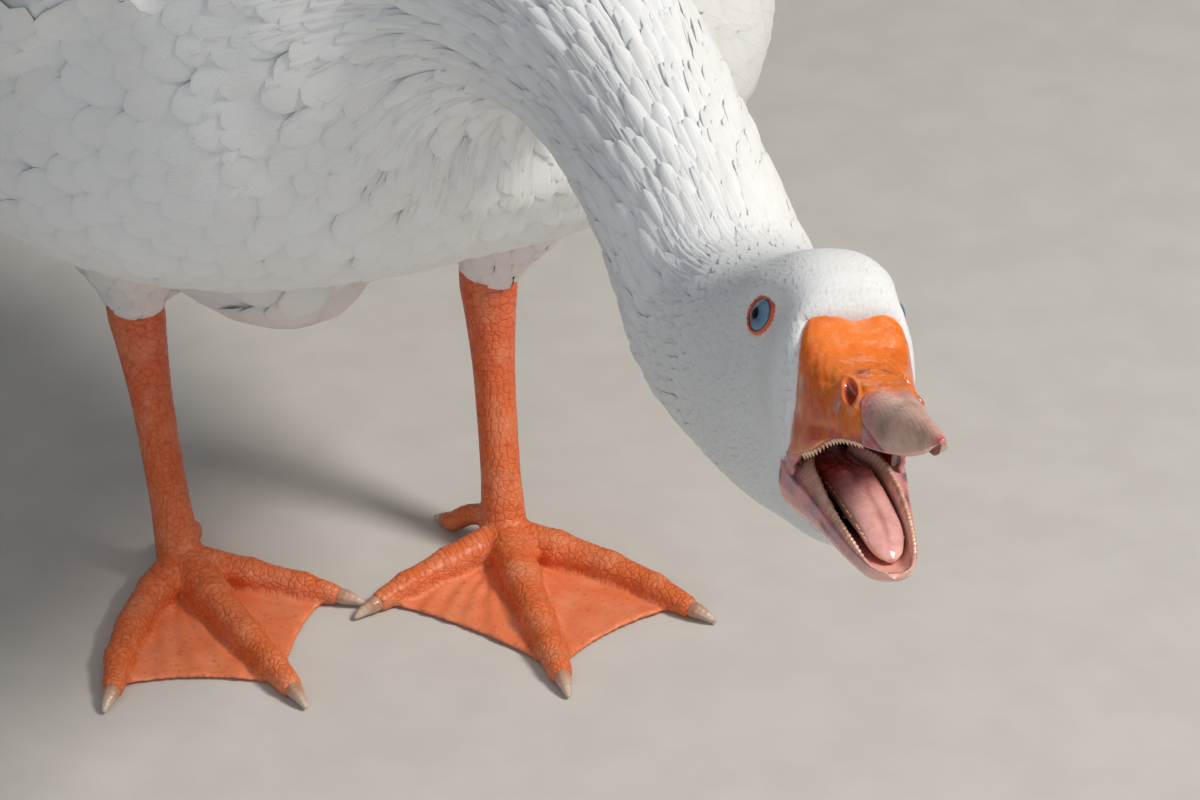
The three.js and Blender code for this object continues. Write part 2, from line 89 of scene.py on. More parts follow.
# The face's edge against the bill: forward and up in the head's frame.
FACE_LINE = ((24, 60), (19.6, 1), (21.4, -6), (22.3, -14), (21.6, -23), (18, -32), (14.8, -39), (14.4, -51),
             (17, -56), (22, -61), (34, -75))
EYE_AT = (1.6, 20.4, -0.2)
EYE_LOOK = (0.28, 1, 0.28)
EYE_RADIUS = 8.5
EYE_SUNK = 6.55
UPPER_BILL = (
    (8, 0, -38.6, 17.2, 40.6, 1.2, 5, 2),
    (21.5, 0, -37.4, 16.8, 37.2, 1.2, 6, 2),
    (30, 0, -35.6, 15.6, 26.4, 1.6, 4.6, 2),
    (37, 0, -32.6, 14, 20.4, 2, 3, 2),
    (45, 0, -31.4, 12.6, 16.2, 2.2, 2.6, 2),
    (52, 0, -31.8, 10.7, 14.4, 2.4, 2.4, 2),
    (60, 0, -32.6, 9.3, 13.8, 2.4, 2.3, 2),
    (68, 0, -33, 7.7, 12.8, 2.6, 2.2, 2),
    (77, 0, -32.8, 5.6, 10.4, 3, 2.1, 2),
    (85, 0, -31.6, 3.9, 6.8, 2.2, 2, 2),
    (90.5, 0, -30.2, 2.3, 3.4, 1.2, 2, 2),
    (93, 0, -29.2, 0.8, 1.0, 0.6, 2, 2),
)
JAW_AT = (2, 0, -34.4)
JAW_DROP = 31.5
LOWER_BILL = (
    (2, 0, -1, 17.4, 1.5, 20, 2, 2.6),
    (15, 0, -0.5, 17.8, 1.5, 16.5, 2, 2.6),
    (28, 0, 0, 15.2, 1.5, 12.5, 2, 2.5),
    (42, 0, 0, 12.4, 1.5, 9, 2, 2.3),
    (52, 0, 0, 10.2, 1.5, 6.8, 2, 2.1),
    (60, 0, 0, 7.6, 1.5, 5, 2, 2),
    (63.6, 0, 0, 4.6, 1.2, 3, 2, 2),
    (65, 0, -0.4, 0.8, 0.3, 0.9, 2, 2),
)
TONGUE = (
    (-4, 0, -8, 6, 5, 4, 2, 2),
    (12, 0, -5, 7.6, 5.2, 4.6, 2.3, 2),
    (30, 0, -3, 7.2, 4.4, 4.2, 2.4, 2),
    (45, 0, -1.2, 6.2, 3, 3, 2.3, 2),
    (53, 0, -1.2, 4.2, 2, 2, 2, 2),
    (56.5, 0, -1.4, 1.4, 0.8, 0.8, 2, 2),
)
PAUNCH = {"at": (-70, -21, 172), "pitch": -11, "radii": (128, 56, 68)}
LEGS = (
    {"name": "left", "side": 1, "foot": (24, 56), "heading": -10, "hock": (-4, 62, 100), "spread": (44, 64)},
    {"name": "right", "side": -1, "foot": (-8, -58), "heading": 6, "hock": (-38, -61, 98),
     "spread": (44, 44)},
)
# Up the shank: share of the way to the hock, half width, half depth.
SHANK = ((0.04, 8.6, 8.4), (0.09, 8.6, 8.6), (0.2, 7.8, 8.5), (0.34, 7.2, 8), (0.66, 7.6, 8.3),
         (0.88, 9.2, 10.4), (1, 10.4, 11.8), (1.16, 9, 10))
# Up the feathered thigh: forward of the hock, outward, above, half width, half depth.
THIGH = ((0, 0, 5, 12.6, 14), (3, 1, 16, 16, 18), (8, 3, 38, 26, 31), (14, 6, 76, 38, 50),
         (22, 4, 138, 40, 60))
TOES = (
    {"name": "outer", "turn": -1, "length": 80, "root": 7.4, "bow": 6},
    {"name": "middle", "turn": 0, "length": 88, "root": 8, "bow": 0},
    {"name": "inner", "turn": 1, "length": 60, "root": 7, "bow": 2},
)
WING_COVER = (
    (-314, -18, 360, 20, 12, 10, 2, 2),
    (-260, -18, 350, 50, 38, 34, 2, 2),
    (-194, -18, 334, 92, 70, 68, 2.1, 2.2),
    (-134, -18, 314, 122, 101, 106, 2.2, 2.4),
    (-66, -18, 300, 150, 134, 130, 2.2, 2.6),
    (3, -18, 298, 159, 146, 133, 2.2, 2.8),
    (77, -16, 304, 154, 142, 124, 2.2, 2.8),
    (132, -14, 315, 132, 119, 108, 2.2, 2.6),
    (168, -12, 325, 100, 84, 84, 2.1, 2.3),
)
# The folded wing's upper and lower edges from the side: forward and up.
WING_TOP = ((-314, 364), (-252, 374), (-154, 398), (-46, 430), (60, 434), (144, 390), (162, 326))
WING_LOW = ((-314, 352), (-252, 336), (-174, 304), (-76, 278), (32, 272), (120, 290), (162, 326))
# Half the gap between the wings' upper edges, and where the middle of the back lies across the layout.
WING_APART = 5
MIDLINE = -18
TAIL = (
    (-346, -18, 354, 40, 1, 1, 2.4, 2.4),
    (-338, -18, 353, 53, 2, 2, 2.4, 2.4),
    (-294, -18, 348, 56, 5, 6, 2.2, 2.2),
    (-250, -18, 340, 50, 13, 18, 2, 2),
    (-190, -18, 330, 40, 22, 26, 2, 2),
)

# ---------------------------------------------------------------- frames and forms


def turned(yaw=0.0, pitch=0.0, roll=0.0):
    """The matrix that rolls, then lifts the front by pitch, then turns left by yaw, in degrees."""
    turn = Euler((math.radians(roll), math.radians(-pitch), math.radians(yaw)), "XYZ")
    return np.array(turn.to_matrix())


class Frame:
    """A place, a turn and a size: out() takes its millimetres to metres in the model, into() back."""

    def __init__(self, at, turn=None, size=1.0):
        self.at = np.array(at, float)
        self.turn = np.eye(3) if turn is None else turn
        self.size = size * MM

    def out(self, points):
        return np.asarray(points, float) @ self.turn.T * self.size + self.at

    def into(self, points):
        return (points - self.at) @ self.turn / self.size

    def ways(self, vectors):
        return np.asarray(vectors, float) @ self.turn.T


def middle_of(node):
    """The middle of a solid's box."""
    low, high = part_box(node)
    return (np.array(low) + np.array(high)) / 2


def unit(vectors):
    """The same directions, each one long."""
    return vectors / np.maximum(np.linalg.norm(vectors, axis=-1, keepdims=True), 1e-12)


def layout_frames():
    """The frames of the head, of the floor point that the goose is laid out from, and of the jaw."""
    turn = turned(**HEAD_TURN)
    look = unit(np.array(EYE_LOOK, float))
    sunk = (np.array(EYE_AT) - EYE_SUNK * look) * (1, 0, 1)
    eyes = (middle_of("eye_left") + middle_of("eye_right")) / 2
    head = Frame(eyes - turn @ sunk * HEAD_SIZE * MM, turn, HEAD_SIZE)
    layout = Frame(head.at - np.array(HEAD_AT) * MM)
    jaw = Frame(head.out(JAW_AT), turn @ turned(pitch=-JAW_DROP), HEAD_SIZE)
    return layout, head, jaw


LAYOUT, HEAD, JAW = layout_frames()


def spline(rows, place):
    """The smooth line through rows, at places counted along them."""
    rows = np.vstack([2 * rows[0] - rows[1], rows, 2 * rows[-1] - rows[-2]])
    place = np.clip(place, 0, len(rows) - 3)
    i = np.minimum(place.astype(int), len(rows) - 4)
    t = (place - i)[..., None]
    a, b, c, d = rows[i], rows[i + 1], rows[i + 2], rows[i + 3]
    leave, arrive = (c - a) / 2, (d - b) / 2
    return b + leave * t + (3 * (c - b) - 2 * leave - arrive) * t**2 + (2 * (b - c) + leave + arrive) * t**3


def power(value, exponent):
    """A power that keeps the value's sign."""
    return np.sign(value) * np.abs(value) ** exponent


def circle(count):
    """Angles spread evenly round one turn."""
    return np.linspace(0, 2 * math.pi, count, False)


def side_name(side):
    """The word for a side: 1 is the goose's left."""
    return "left" if side > 0 else "right"


class Loft:
    """A form through rows of sections, the same as the solids' own. Sizes in millimetres."""

    def __init__(self, rows, crowns=None, upright=False):
        rows = np.array(rows, float)
        self.centre, self.girth, self.square = rows[:, :3], rows[:, 3:6], rows[:, 6:8]
        self.crown = np.tile((0.0, 0.0, 1.0), (len(rows), 1)) if crowns is None else np.array(crowns, float)
        self.last = len(rows) - 1
        self.upright = upright

    def axes(self, place):
        """Forward, up and left at each place."""
        step = 1e-4 * self.last
        forward = unit(spline(self.centre, place + step) - spline(self.centre, place - step))
        if self.upright:
            forward = np.zeros_like(forward) + (1, 0, 0)
        up = spline(self.crown, place)
        up = unit(up - forward * (up * forward).sum(-1, keepdims=True))
        return forward, up, np.cross(up, forward)

    def point(self, place, angle, grow=0.0):
        """The skin's point at a place and an angle from its crown, grown out by some millimetres."""
        place, angle = np.broadcast_arrays(np.asarray(place, float), np.asarray(angle, float))
        _, up, left = self.axes(place)
        girth, square = spline(self.girth, place), spline(self.square, place)
        c, s = np.cos(angle), np.sin(angle)
        above = c > 0
        exponent = 2 / np.where(above, square[..., 0], square[..., 1])
        tall = np.where(above, girth[..., 1], girth[..., 2]) + grow
        rise, aside = tall * power(c, exponent), (girth[..., 0] + grow) * power(s, exponent)
        return spline(self.centre, place) + up * rise[..., None] + left * aside[..., None]

    def rings(self, places, angles, grow=0.0):
        """A ring of points at each place."""
        return self.point(*np.meshgrid(places, angles, indexing="ij"), grow)

    def place_at(self, run):
        """The place that lies run millimetres forward."""
        return np.interp(run, self.centre[:, 0], np.arange(self.last + 1))


class Sheet:
    """A loft placed in the model, as a surface. Points in metres."""

    def __init__(self, loft, place_in):
        self.loft, self.place_in = loft, place_in

    def point(self, a, b):
        return self.place_in.out(self.loft.point(a, b))


def body_loft():
    """The one long form of trunk, neck and head, in the layout's millimetres."""
    rows = [list(row) for row in TRUNK_AND_NECK]
    turn = turned(**HEAD_TURN)
    for row in HEAD_ROWS:
        rows.append([*(np.array(HEAD_AT) + turn @ np.array(row[:3]) * HEAD_SIZE), *row[3:]])
    crowns = [(0, 0, 1)] * len(TRUNK_AND_NECK) + [tuple(turn[:, 2])] * len(HEAD_ROWS)
    return Loft(rows, crowns)


BODY = Sheet(body_loft(), LAYOUT)


def smooth_step(low, high, value):
    """0 at low, 1 at high and a smooth rise between; high may be the smaller."""
    t = np.clip((value - low) / (high - low), 0, 1)
    return t * t * (3 - 2 * t)


def mound(points, centre, radii):
    """1 at the centre of a soft ellipsoid, falling to 0 outside it."""
    return np.exp(-(((points - np.array(centre, float)) / np.array(radii, float)) ** 2).sum(-1))


# ---------------------------------------------------------------- meshes


def new_object(name, mesh, material=None):
    """A smooth-shaded object of a mesh, linked into the scene."""
    thing = bpy.data.objects.new(name, mesh)
    bpy.context.scene.collection.objects.link(thing)
    if material:
        mesh.materials.append(material)
    mesh.shade_smooth()
    return thing


def mesh_of(name, points, faces):
    """A mesh from an array of points and a list of face arrays, each with its own number of corners."""
    mesh = bpy.data.meshes.new(name)
    points = np.asarray(points, float).reshape(-1, 3)
    mesh.vertices.add(len(points))
    mesh.vertices.foreach_set("co", points.ravel())
    corners = np.concatenate([f.ravel() for f in faces])
    sizes = np.concatenate([np.full(len(f), f.shape[1]) for f in faces])
    mesh.loops.add(len(corners))
    mesh.loops.foreach_set("vertex_index", corners)
    mesh.polygons.add(len(sizes))
    mesh.polygons.foreach_set("loop_start", np.concatenate([[0], np.cumsum(sizes)[:-1]]))
    mesh.update(calc_edges=True)
    return mesh


def ring_faces(rows, around):
    """Quads between rings of points, wrapping round."""
    i, j = np.meshgrid(np.arange(rows - 1), np.arange(around), indexing="ij")
    k = (j + 1) % around
    quads = [i * around + j, (i + 1) * around + j, (i + 1) * around + k, i * around + k]
    return np.stack(quads, -1).reshape(-1, 4)


def closed_faces(rows, around, count=1):
    """Faces of forms made of rings, one form after another, with one face closing each end."""
    ends = np.stack([np.arange(around), np.arange(around)[::-1] + (rows - 1) * around])
    first = (np.arange(count) * rows * around)[:, None, None]
    return [(part + first).reshape(-1, part.shape[1]) for part in (ring_faces(rows, around), ends)]


def form_of(name, points, material=None):
    """An object from rings of points: (rows, around, 3)."""
    rows, around = points.shape[:2]
    return new_object(name, mesh_of(name, points, closed_faces(rows, around)), material)


def mark(mesh, name, vectors):
    """Stores a vector at each point of a mesh, for its material."""
    mesh.attributes.new(name, "FLOAT_VECTOR", "POINT").data.foreach_set("vector", vectors.ravel())


def remeshed(name, forms, voxel, smoothing):
    """One closed mesh round several closed forms, each an array of rings, with its joins smoothed."""
    faces, points, first = [], [], 0
    for rings in forms:
        rows, around = rings.shape[:2]
        faces += [f + first for f in closed_faces(rows, around)]
        points.append(rings.reshape(-1, 3))
        first += rows * around
    corner_counts = {f.shape[1] for f in faces}
    grouped = [np.concatenate([f for f in faces if f.shape[1] == n]) for n in corner_counts]
    raw = new_object(name + "_forms", mesh_of(name, np.concatenate(points), grouped))
    remesh = raw.modifiers.new("Join", "REMESH")
    remesh.mode = "VOXEL"
    remesh.voxel_size = voxel
    smooth = raw.modifiers.new("Soften", "SMOOTH")
    smooth.factor = 0.5
    smooth.iterations = smoothing
    depsgraph = bpy.context.evaluated_depsgraph_get()
    mesh = bpy.data.meshes.new_from_object(raw.evaluated_get(depsgraph))
    bpy.data.objects.remove(raw)
    mesh.name = name
    return mesh


def points_of(mesh):
    points = np.empty(len(mesh.vertices) * 3)
    mesh.vertices.foreach_get("co", points)
    return points.reshape(-1, 3)


def normals_of(mesh):
    normals = np.empty(len(mesh.vertices) * 3)
    mesh.vertices.foreach_get("normal", normals)
    return normals.reshape(-1, 3)


def move_points(mesh, points):
    mesh.vertices.foreach_set("co", points.ravel())
    mesh.update()


def finished(thing, slot, *nodes):
    """The piece rides on the goose, takes its finish from a slot and stands for the solids named."""
    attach(thing, "root")
    if nodes:
        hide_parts(*nodes)
    return thing


def coloured(thing, tone, slot, *nodes):
    """Stores a colour at each of the piece's points, for its material, and finishes it."""
    tone = np.reshape(tone, (-1, 3))
    layer = thing.data.attributes.new("tone", "FLOAT_COLOR", "POINT")
    layer.data.foreach_set("color", np.column_stack([tone, np.ones(len(tone))]).ravel())
    return finished(thing, slot, *nodes)


# ---------------------------------------------------------------- the surface that the feathers lie along


class Wing:
    """The outer face of a folded wing: a is the place along WING_COVER, b runs from its top edge down."""

    def __init__(self, side):
        self.side = side
        self.loft = Loft(WING_COVER)

    def angle_at(self, height, centre, girth, square):
        rise = height - centre
        above = np.maximum(rise, 0) / girth[..., 1]
        below = np.maximum(-rise, 0) / girth[..., 2]
        cosine = np.minimum(above, 1) ** (square[..., 0] / 2) - np.minimum(below, 1) ** (square[..., 1] / 2)
        return np.arccos(np.clip(cosine, -1, 1))

    def point(self, a, b, out=0.0):
        a, b = np.broadcast_arrays(np.asarray(a, float), np.asarray(b, float))
        centre, girth = spline(self.loft.centre, a), spline(self.loft.girth, a)
        square = spline(self.loft.square, a)
        edges = [np.interp(centre[..., 0], *np.transpose(line)) for line in (WING_TOP, WING_LOW)]
        high, low = (self.angle_at(z, centre[..., 2], girth, square) for z in edges)
        apart = np.arcsin((WING_APART / girth[..., 0]) ** (square[..., 0] / 2))
        high = np.maximum(high, apart)
        points = self.loft.point(a, high + (np.maximum(low, high + 0.05) - high) * b, out)
        points[..., 1] = MIDLINE + self.side * (points[..., 1] - MIDLINE)
        return LAYOUT.out(points)

    def rings(self, out):
        """The wing as a closed form: its outer face, and an inner one near the midline."""
        outer = self.point(*np.meshgrid(np.linspace(0, 7.9, 64), np.linspace(0, 1, 40), indexing="ij"), out)
        inner = outer[:, ::-1].copy()
        inner[..., 1] = LAYOUT.at[1] + (MIDLINE + self.side * WING_APART) * MM
        rings = np.concatenate([outer, inner[:, 1:-1]], 1)
        return rings if self.side > 0 else rings[:, ::-1]


def paunch_rings(out):
    """The belly's hanging lobe between and behind the legs."""
    turn = turned(pitch=PAUNCH["pitch"])
    run, round_it = np.meshgrid(np.linspace(0.03, 3.11, 30), circle(48), indexing="ij")
    ball = np.stack([-np.cos(run), np.sin(run) * np.sin(round_it), np.sin(run) * np.cos(round_it)], -1)
    return LAYOUT.out(ball * (np.array(PAUNCH["radii"]) + out) @ turn.T + PAUNCH["at"])


def upright_rows(rows):
    """Rows of a form that is stacked up a leg."""
    return Loft(rows, [(-1, 0, 0.2)] * len(rows))


def thigh_rings(leg, out):
    hock = np.array(leg["hock"], float)
    rows = [(*(hock + (x, leg["side"] * y, z)), wide, deep, deep, 2, 2) for x, y, z, wide, deep in THIGH]
    loft = upright_rows(rows)
    return LAYOUT.out(loft.rings(np.linspace(0, loft.last, 40), circle(40), out))


def goose_form(name, out):
    """The body, thighs, wings and tail root in one mesh, out millimetres proud of the solids."""
    body = BODY.loft.rings(np.linspace(0, BODY.loft.last - 0.02, 260), circle(96), out)
    rump = Loft(TAIL).rings(np.linspace(1.2, 4, 30), circle(48), out)
    forms = [LAYOUT.out(body), LAYOUT.out(rump), paunch_rings(out), *(thigh_rings(leg, out) for leg in LEGS)]
    forms += [Wing(side).rings(out) for side in (1, -1)]
    return remeshed(name, forms, 0.003, 6)


def face_edge(up):
    """How far forward the feathers reach at each height, both in the head's frame."""
    line = sorted(FACE_LINE, key=lambda point: point[1])
    return np.interp(up, [z for _, z in line], [x for x, _ in line])


# Mounds and hollows on both sides of the head: how many millimetres high, middle and reach.
FACE_MOUNDS = (
    (1.6, (-3, 21, 8), (12, 8, 4.5)),
    (-1.3, (9, 19, 1), (6, 6, 6)),
    (1.2, (-6, 24, -20), (16, 10, 13)),
    (-0.9, EYE_AT, (7, 7, 6)),
    (1.6, (14, 19, -13), (7, 7, 14)),
    (1.3, (14, 20, -26), (8, 7, 11)),
)


def heaped(points, mounds):
    """The height of several mounds together."""
    return sum(high * mound(points, centre, reach) for high, centre, reach in mounds)


def sculpt_head(points, normals):
    """Gives the head its brow, cheek and the hollow before the eye, and ends it along the bill."""
    head = HEAD.into(points)
    near = smooth_step(-90, -60, head[:, 0])
    shape = heaped(head, FACE_MOUNDS) + heaped(head * (1, -1, 1), FACE_MOUNDS)
    shape += 2.6 * mound(head, (2, 0, -60), (16, 12, 8))
    points = points + normals * (shape * near * MM)[:, None]
    head = HEAD.into(points)
    beyond = np.maximum(head[:, 0] - face_edge(head[:, 2]), 0) * near
    kept = 0.015 + 0.45 * smooth_step(-3, 1.5, head[:, 2])
    return HEAD.out(head - np.stack([beyond * (1 - kept), 0 * beyond, 0 * beyond], -1))


class Surface:
    """A closed mesh of quads to lay feathers on."""

    def __init__(self, mesh):
        self.points, self.normals = points_of(mesh), normals_of(mesh)
        corners = np.empty(len(mesh.loops), int)
        mesh.loops.foreach_get("vertex_index", corners)
        self.corners = corners.reshape(-1, 4)
        self.tree = BVHTree.FromPolygons(self.points.tolist(), self.corners.tolist())

    def snap(self, points):
        """The nearest points of the surface, and its smooth normals there."""
        found = [self.tree.find_nearest(point) for point in points.tolist()]
        near = np.array([hit[0] for hit in found])
        corners = self.corners[[hit[2] for hit in found]]
        gaps = ((self.points[corners] - near[:, None]) ** 2).sum(-1)
        share = 1 / (gaps + 1e-9)
        return near, unit((self.normals[corners] * share[..., None]).sum(1))

    def scatter(self, rng, spacing, keep):
        """Points spread evenly where keep() allows, no two nearer than spacing(), and the spacing at each."""
        a, b, c, d = (self.points[self.corners[:, i]] for i in range(4))
        area = np.linalg.norm(np.cross(c - a, d - b), axis=1) / 2
        centre = (a + b + c + d) / 4
        gap = spacing(centre)
        wanted = np.where(keep(centre), area / gap**2 * 7, 0)
        faces = np.repeat(np.arange(len(area)), (wanted + rng.random(len(area))).astype(int))
        rng.shuffle(faces)
        u, v = rng.random((2, len(faces), 1))
        darts = (a[faces] * (1 - u) + b[faces] * u) * (1 - v) + (d[faces] * (1 - u) + c[faces] * u) * v
        gap = gap[faces]
        size = gap.max()
        cells, chosen = {}, []
        spots, keys, reach = darts.tolist(), (darts // size).astype(int).tolist(), (gap**2).tolist()
        around = [(i, j, k) for i in (-1, 0, 1) for j in (-1, 0, 1) for k in (-1, 0, 1)]
        for n, (x, y, z) in enumerate(keys):
            px, py, pz = spots[n]
            near = (q for i, j, k in around for q in cells.get((x + i, y + j, z + k), ()))
            if all((px - q[0]) ** 2 + (py - q[1]) ** 2 + (pz - q[2]) ** 2 > reach[n] for q in near):
                cells.setdefault((x, y, z), []).append(spots[n])
                chosen.append(n)
        return darts[chosen], gap[chosen]

    def lay(self, roots, lengths, shares, flow):
        """The lines that feathers follow over the surface from their roots: points and normals."""
        point, normal = self.snap(roots)
        points, normals = [point], [normal]
        for before, share in zip(shares, shares[1:]):
            way = flow(point)
            way = unit(way - normal * (way * normal).sum(-1, keepdims=True))
            point, normal = self.snap(point + way * ((share - before) * lengths)[:, None])
            points.append(point)
            normals.append(normal)
        return np.stack(points, 1), np.stack(normals, 1)


CENTRE_PLACES = np.linspace(0, BODY.loft.last, 500)
CENTRE_LINE = LAYOUT.out(spline(BODY.loft.centre, CENTRE_PLACES))


def place_of(points):
    """The place along the body's rows that each point is nearest to."""
    gaps = ((points[:, None] - CENTRE_LINE[None]) ** 2).sum(-1)
    return CENTRE_PLACES[gaps.argmin(1)]


def unwrapped(points):
    """Where each point lies when the skin is opened along the belly and rolled flat: round, and along."""
    place = place_of(points)
    _, up, left = BODY.loft.axes(place)
    from_axis = LAYOUT.into(points) - spline(BODY.loft.centre, place)
    turn = np.arctan2((from_axis * left).sum(-1), (from_axis * up).sum(-1))
    return np.stack([0.5 + turn / (2 * math.pi) * 0.98, 0.01 + 0.98 * place / BODY.loft.last], -1)


def thigh_share(points):
    """1 on the thighs, 0 away from them, with a soft edge."""
    share = np.zeros(len(points))
    spots = LAYOUT.into(points)
    for leg in LEGS:
        low = np.array(leg["hock"], float)
        high = low + (14, leg["side"] * 6, 80)
        along = np.clip(((spots - low) @ (high - low)) / ((high - low) @ (high - low)), 0, 1)
        gap = np.linalg.norm((spots - low - along[:, None] * (high - low)) / (1.15, 1, 1), axis=1)
        reach = 20 + 26 * along
        share = np.maximum(share, 1 - smooth_step(reach * 0.9, reach * 1.25, gap))
    return share * (1 - smooth_step(170, 200, spots[:, 2]))


def body_flow(points):
    """The way feathers point: from the bill back along the body, and down the thighs."""
    forward, up, _ = BODY.loft.axes(place_of(points))
    thigh = thigh_share(points)[:, None]
    brow = smooth_step(12, 20, HEAD.into(points)[:, :1]) * 0.6
    way = (up * brow - forward) * (1 - thigh) + np.array((-0.45, 0, -1)) * thigh
    return way + np.array((0, 0, -0.12))


# ---------------------------------------------------------------- feathers

# A blade is left out where the coat turns further along it than this, as the cosine of the turn.
STRAIGHT_ENOUGH = 0.45
# Half the width of a blade's patch of the OFBake map.
PATCH_REACH = 0.0015


def vanes(name, rng, path, normals, width, height, shares, thick, crown, flat=3, soft=0.6, tilt=0.0):
    """Solid feather blades along paths, as a finished piece of the coat.

    path and normals: (feather, station, 3). width, height: half width and height above the path at each
    station, in metres. shares: how far along the feather each station is. thick is in millimetres. crown is
    how much the edges droop, as a share of the width. flat is the number of points across the top. soft is
    how far the shading follows the coat rather than the blade. tilt raises one edge and sinks the other, so
    that neighbours overlap. Each blade's patch of the OFBake map is at its root."""
    lies_flat = ((normals[:, :1] * normals).sum(-1) > STRAIGHT_ENOUGH).all(1)
    tilt = np.broadcast_to(tilt, len(path))
    path, normals, width, height, tilt = (table[lies_flat] for table in (path, normals, width, height, tilt))
    count, stations = path.shape[:2]
    along = unit(np.gradient(path, axis=1))
    side = unit(np.cross(normals, along))
    across = np.linspace(-1, 1, flat)
    offsets = np.append(across, 0.0)
    drops = np.append(crown * np.abs(across) ** 1.6, crown * 0.5)
    under = np.append(np.zeros(flat), 1.0)
    lift = height[..., None] - width[..., None] * (drops - tilt[:, None, None] * offsets) - under * thick * MM
    points = path[:, :, None] + side[:, :, None] * (width[..., None] * offsets)[..., None]
    points = points + normals[:, :, None] * lift[..., None]
    ring = flat + 1
    mesh = mesh_of(name, points, closed_faces(stations, ring, count))
    s = np.broadcast_to(offsets, (count, stations, ring))
    t = np.broadcast_to(np.array(shares)[:, None], (count, stations, ring))
    chance = np.broadcast_to(rng.random((count, 1, 1)), (count, stations, ring))
    mark(mesh, "vane", np.stack([s, t, chance], -1))
    spot = unwrapped(path[:, 0])[:, None, None] + np.stack([s, t * 2 - 1], -1) * PATCH_REACH
    corners = np.empty(len(mesh.loops), int)
    mesh.loops.foreach_get("vertex_index", corners)
    unwrap = mesh.uv_layers.new(name="OFBake")
    unwrap.data.foreach_set("uv", spot.reshape(-1, 2)[corners].ravel())
    thing = new_object(name, mesh, finish_of("plumage"))
    top = points[:, :, :flat]
    own = unit(np.cross(np.gradient(top, axis=1), np.gradient(top, axis=2)))
    facing = (own * normals[:, :, None]).sum(-1, keepdims=True)
    soft = soft * smooth_step(0.1, 0.6, facing)
    shading = unit(own * (1 - soft) + normals[:, :, None] * soft)
    shading = np.concatenate([shading, shading[:, :, :1]], 2).reshape(-1, 3)
    shade_blades(mesh, shading[corners])
    return finished(thing, "plumage")


def shade_blades(mesh, wanted):
    """Sets the shading of the blades' upper faces, corner by corner; undersides and ends keep their own."""
    flat = np.empty((len(mesh.polygons), 3))
    mesh.polygons.foreach_get("normal", flat.ravel())
    sides = np.empty(len(mesh.polygons), int)
    mesh.polygons.foreach_get("loop_total", sides)
    flat = np.repeat(flat, sides, 0)
    share = smooth_step(0.15, 0.55, (wanted * flat).sum(-1, keepdims=True))
    wanted = unit(flat * (1 - share) + wanted * share)
    mesh.normals_split_custom_set(wanted.tolist())


def blade_width(shares, root=0.45, widest=0.6):
    """A feather's outline: narrow root, broad middle, round tip."""
    shares = np.asarray(shares)
    body = root + (1 - root) * smooth_step(0, widest, shares)
    tip = np.sqrt(np.maximum(1 - (np.maximum(shares - widest, 0) / (1 - widest)) ** 2.6, 0))
    return body * np.maximum(tip, 0.12)


def lying(shares, depth, hold=2.4):
    """The height of a feather along its length: buried at the root, level with the coat at the tip."""
    return -depth * (1 - np.asarray(shares)) ** hold


# ---------------------------------------------------------------- materials


class Finish:
    """Builds one material, or one shared node group, a node at a time."""

    def __init__(self, tree):
        self.tree = tree

    def add(self, kind, output=0, settings=None, **inputs):
        """A new node. Each input is a constant or another node's output; underscores stand for spaces."""
        node = self.tree.nodes.new(kind)
        for key, value in (settings or {}).items():
            setattr(node, key, value)
        for key, value in inputs.items():
            numbered = key[0] == "n" and key[1:].isdigit()
            self.feed(node.inputs[int(key[1:]) if numbered else key.replace("_", " ")], value)
        return node.outputs[output] if output is not None else node

    def feed(self, socket, value):
        if isinstance(value, bpy.types.NodeSocket):
            self.tree.links.new(value, socket)
        elif isinstance(value, (tuple, list)) and socket.type == "RGBA" and len(value) == 3:
            socket.default_value = (*value, 1)
        else:
            socket.default_value = value

    def math(self, operation, *values):
        inputs = {f"n{number}": value for number, value in enumerate(values)}
        return self.add("ShaderNodeMath", settings={"operation": operation}, **inputs)

    def noise(self, where, scale, detail=3.0, roughness=0.5):
        return self.add("ShaderNodeTexNoise", Vector=where, Scale=scale, Detail=detail, Roughness=roughness)

    def blend(self, share, first, second, kind="MIX"):
        settings = {"data_type": "RGBA", "blend_type": kind}
        return self.add("ShaderNodeMix", 2, settings, n0=share, n6=first, n7=second)

    def spread(self, value, low, high, to_low=0.0, to_high=1.0):
        return self.add("ShaderNodeMapRange", n0=value, n1=low, n2=high, n3=to_low, n4=to_high)

    def bump(self, height, strength, distance):
        return self.add("ShaderNodeBump", Height=height, Strength=strength, Distance=distance)

    def attribute(self, name, output="Color"):
        return self.add("ShaderNodeAttribute", output, {"attribute_name": name})

    def parts(self, name):
        """The three numbers of a vector that mark() stored."""
        return self.add("ShaderNodeSeparateXYZ", None, Vector=self.attribute(name, "Vector")).outputs

    def group(self, name, output=0, **inputs):
        return self.add("ShaderNodeGroup", output, {"node_tree": GROUPS[name]()}, **inputs)


NUMBER, COLOUR = "NodeSocketFloat", "NodeSocketColor"


def new_group(name, inputs, outputs):
    """An empty shader group with named sockets, its maker, and its inputs and outputs by name."""
    tree = bpy.data.node_groups.new(name, "ShaderNodeTree")
    for label, kind, default in inputs:
        socket = tree.interface.new_socket(label, in_out="INPUT", socket_type=kind)
        if default is not None:
            socket.default_value = default
    for label, kind in outputs:
        tree.interface.new_socket(label, in_out="OUTPUT", socket_type=kind)
    make = Finish(tree)
    return tree, make, tree.nodes.new("NodeGroupInput").outputs, tree.nodes.new("NodeGroupOutput").inputs


def once(build):
    """Makes a node group the first time it is asked for, and gives the same one after that."""

    def get():
        name = build.__doc__.split(":")[0]
        return bpy.data.node_groups.get(name) or build(name)

    return get


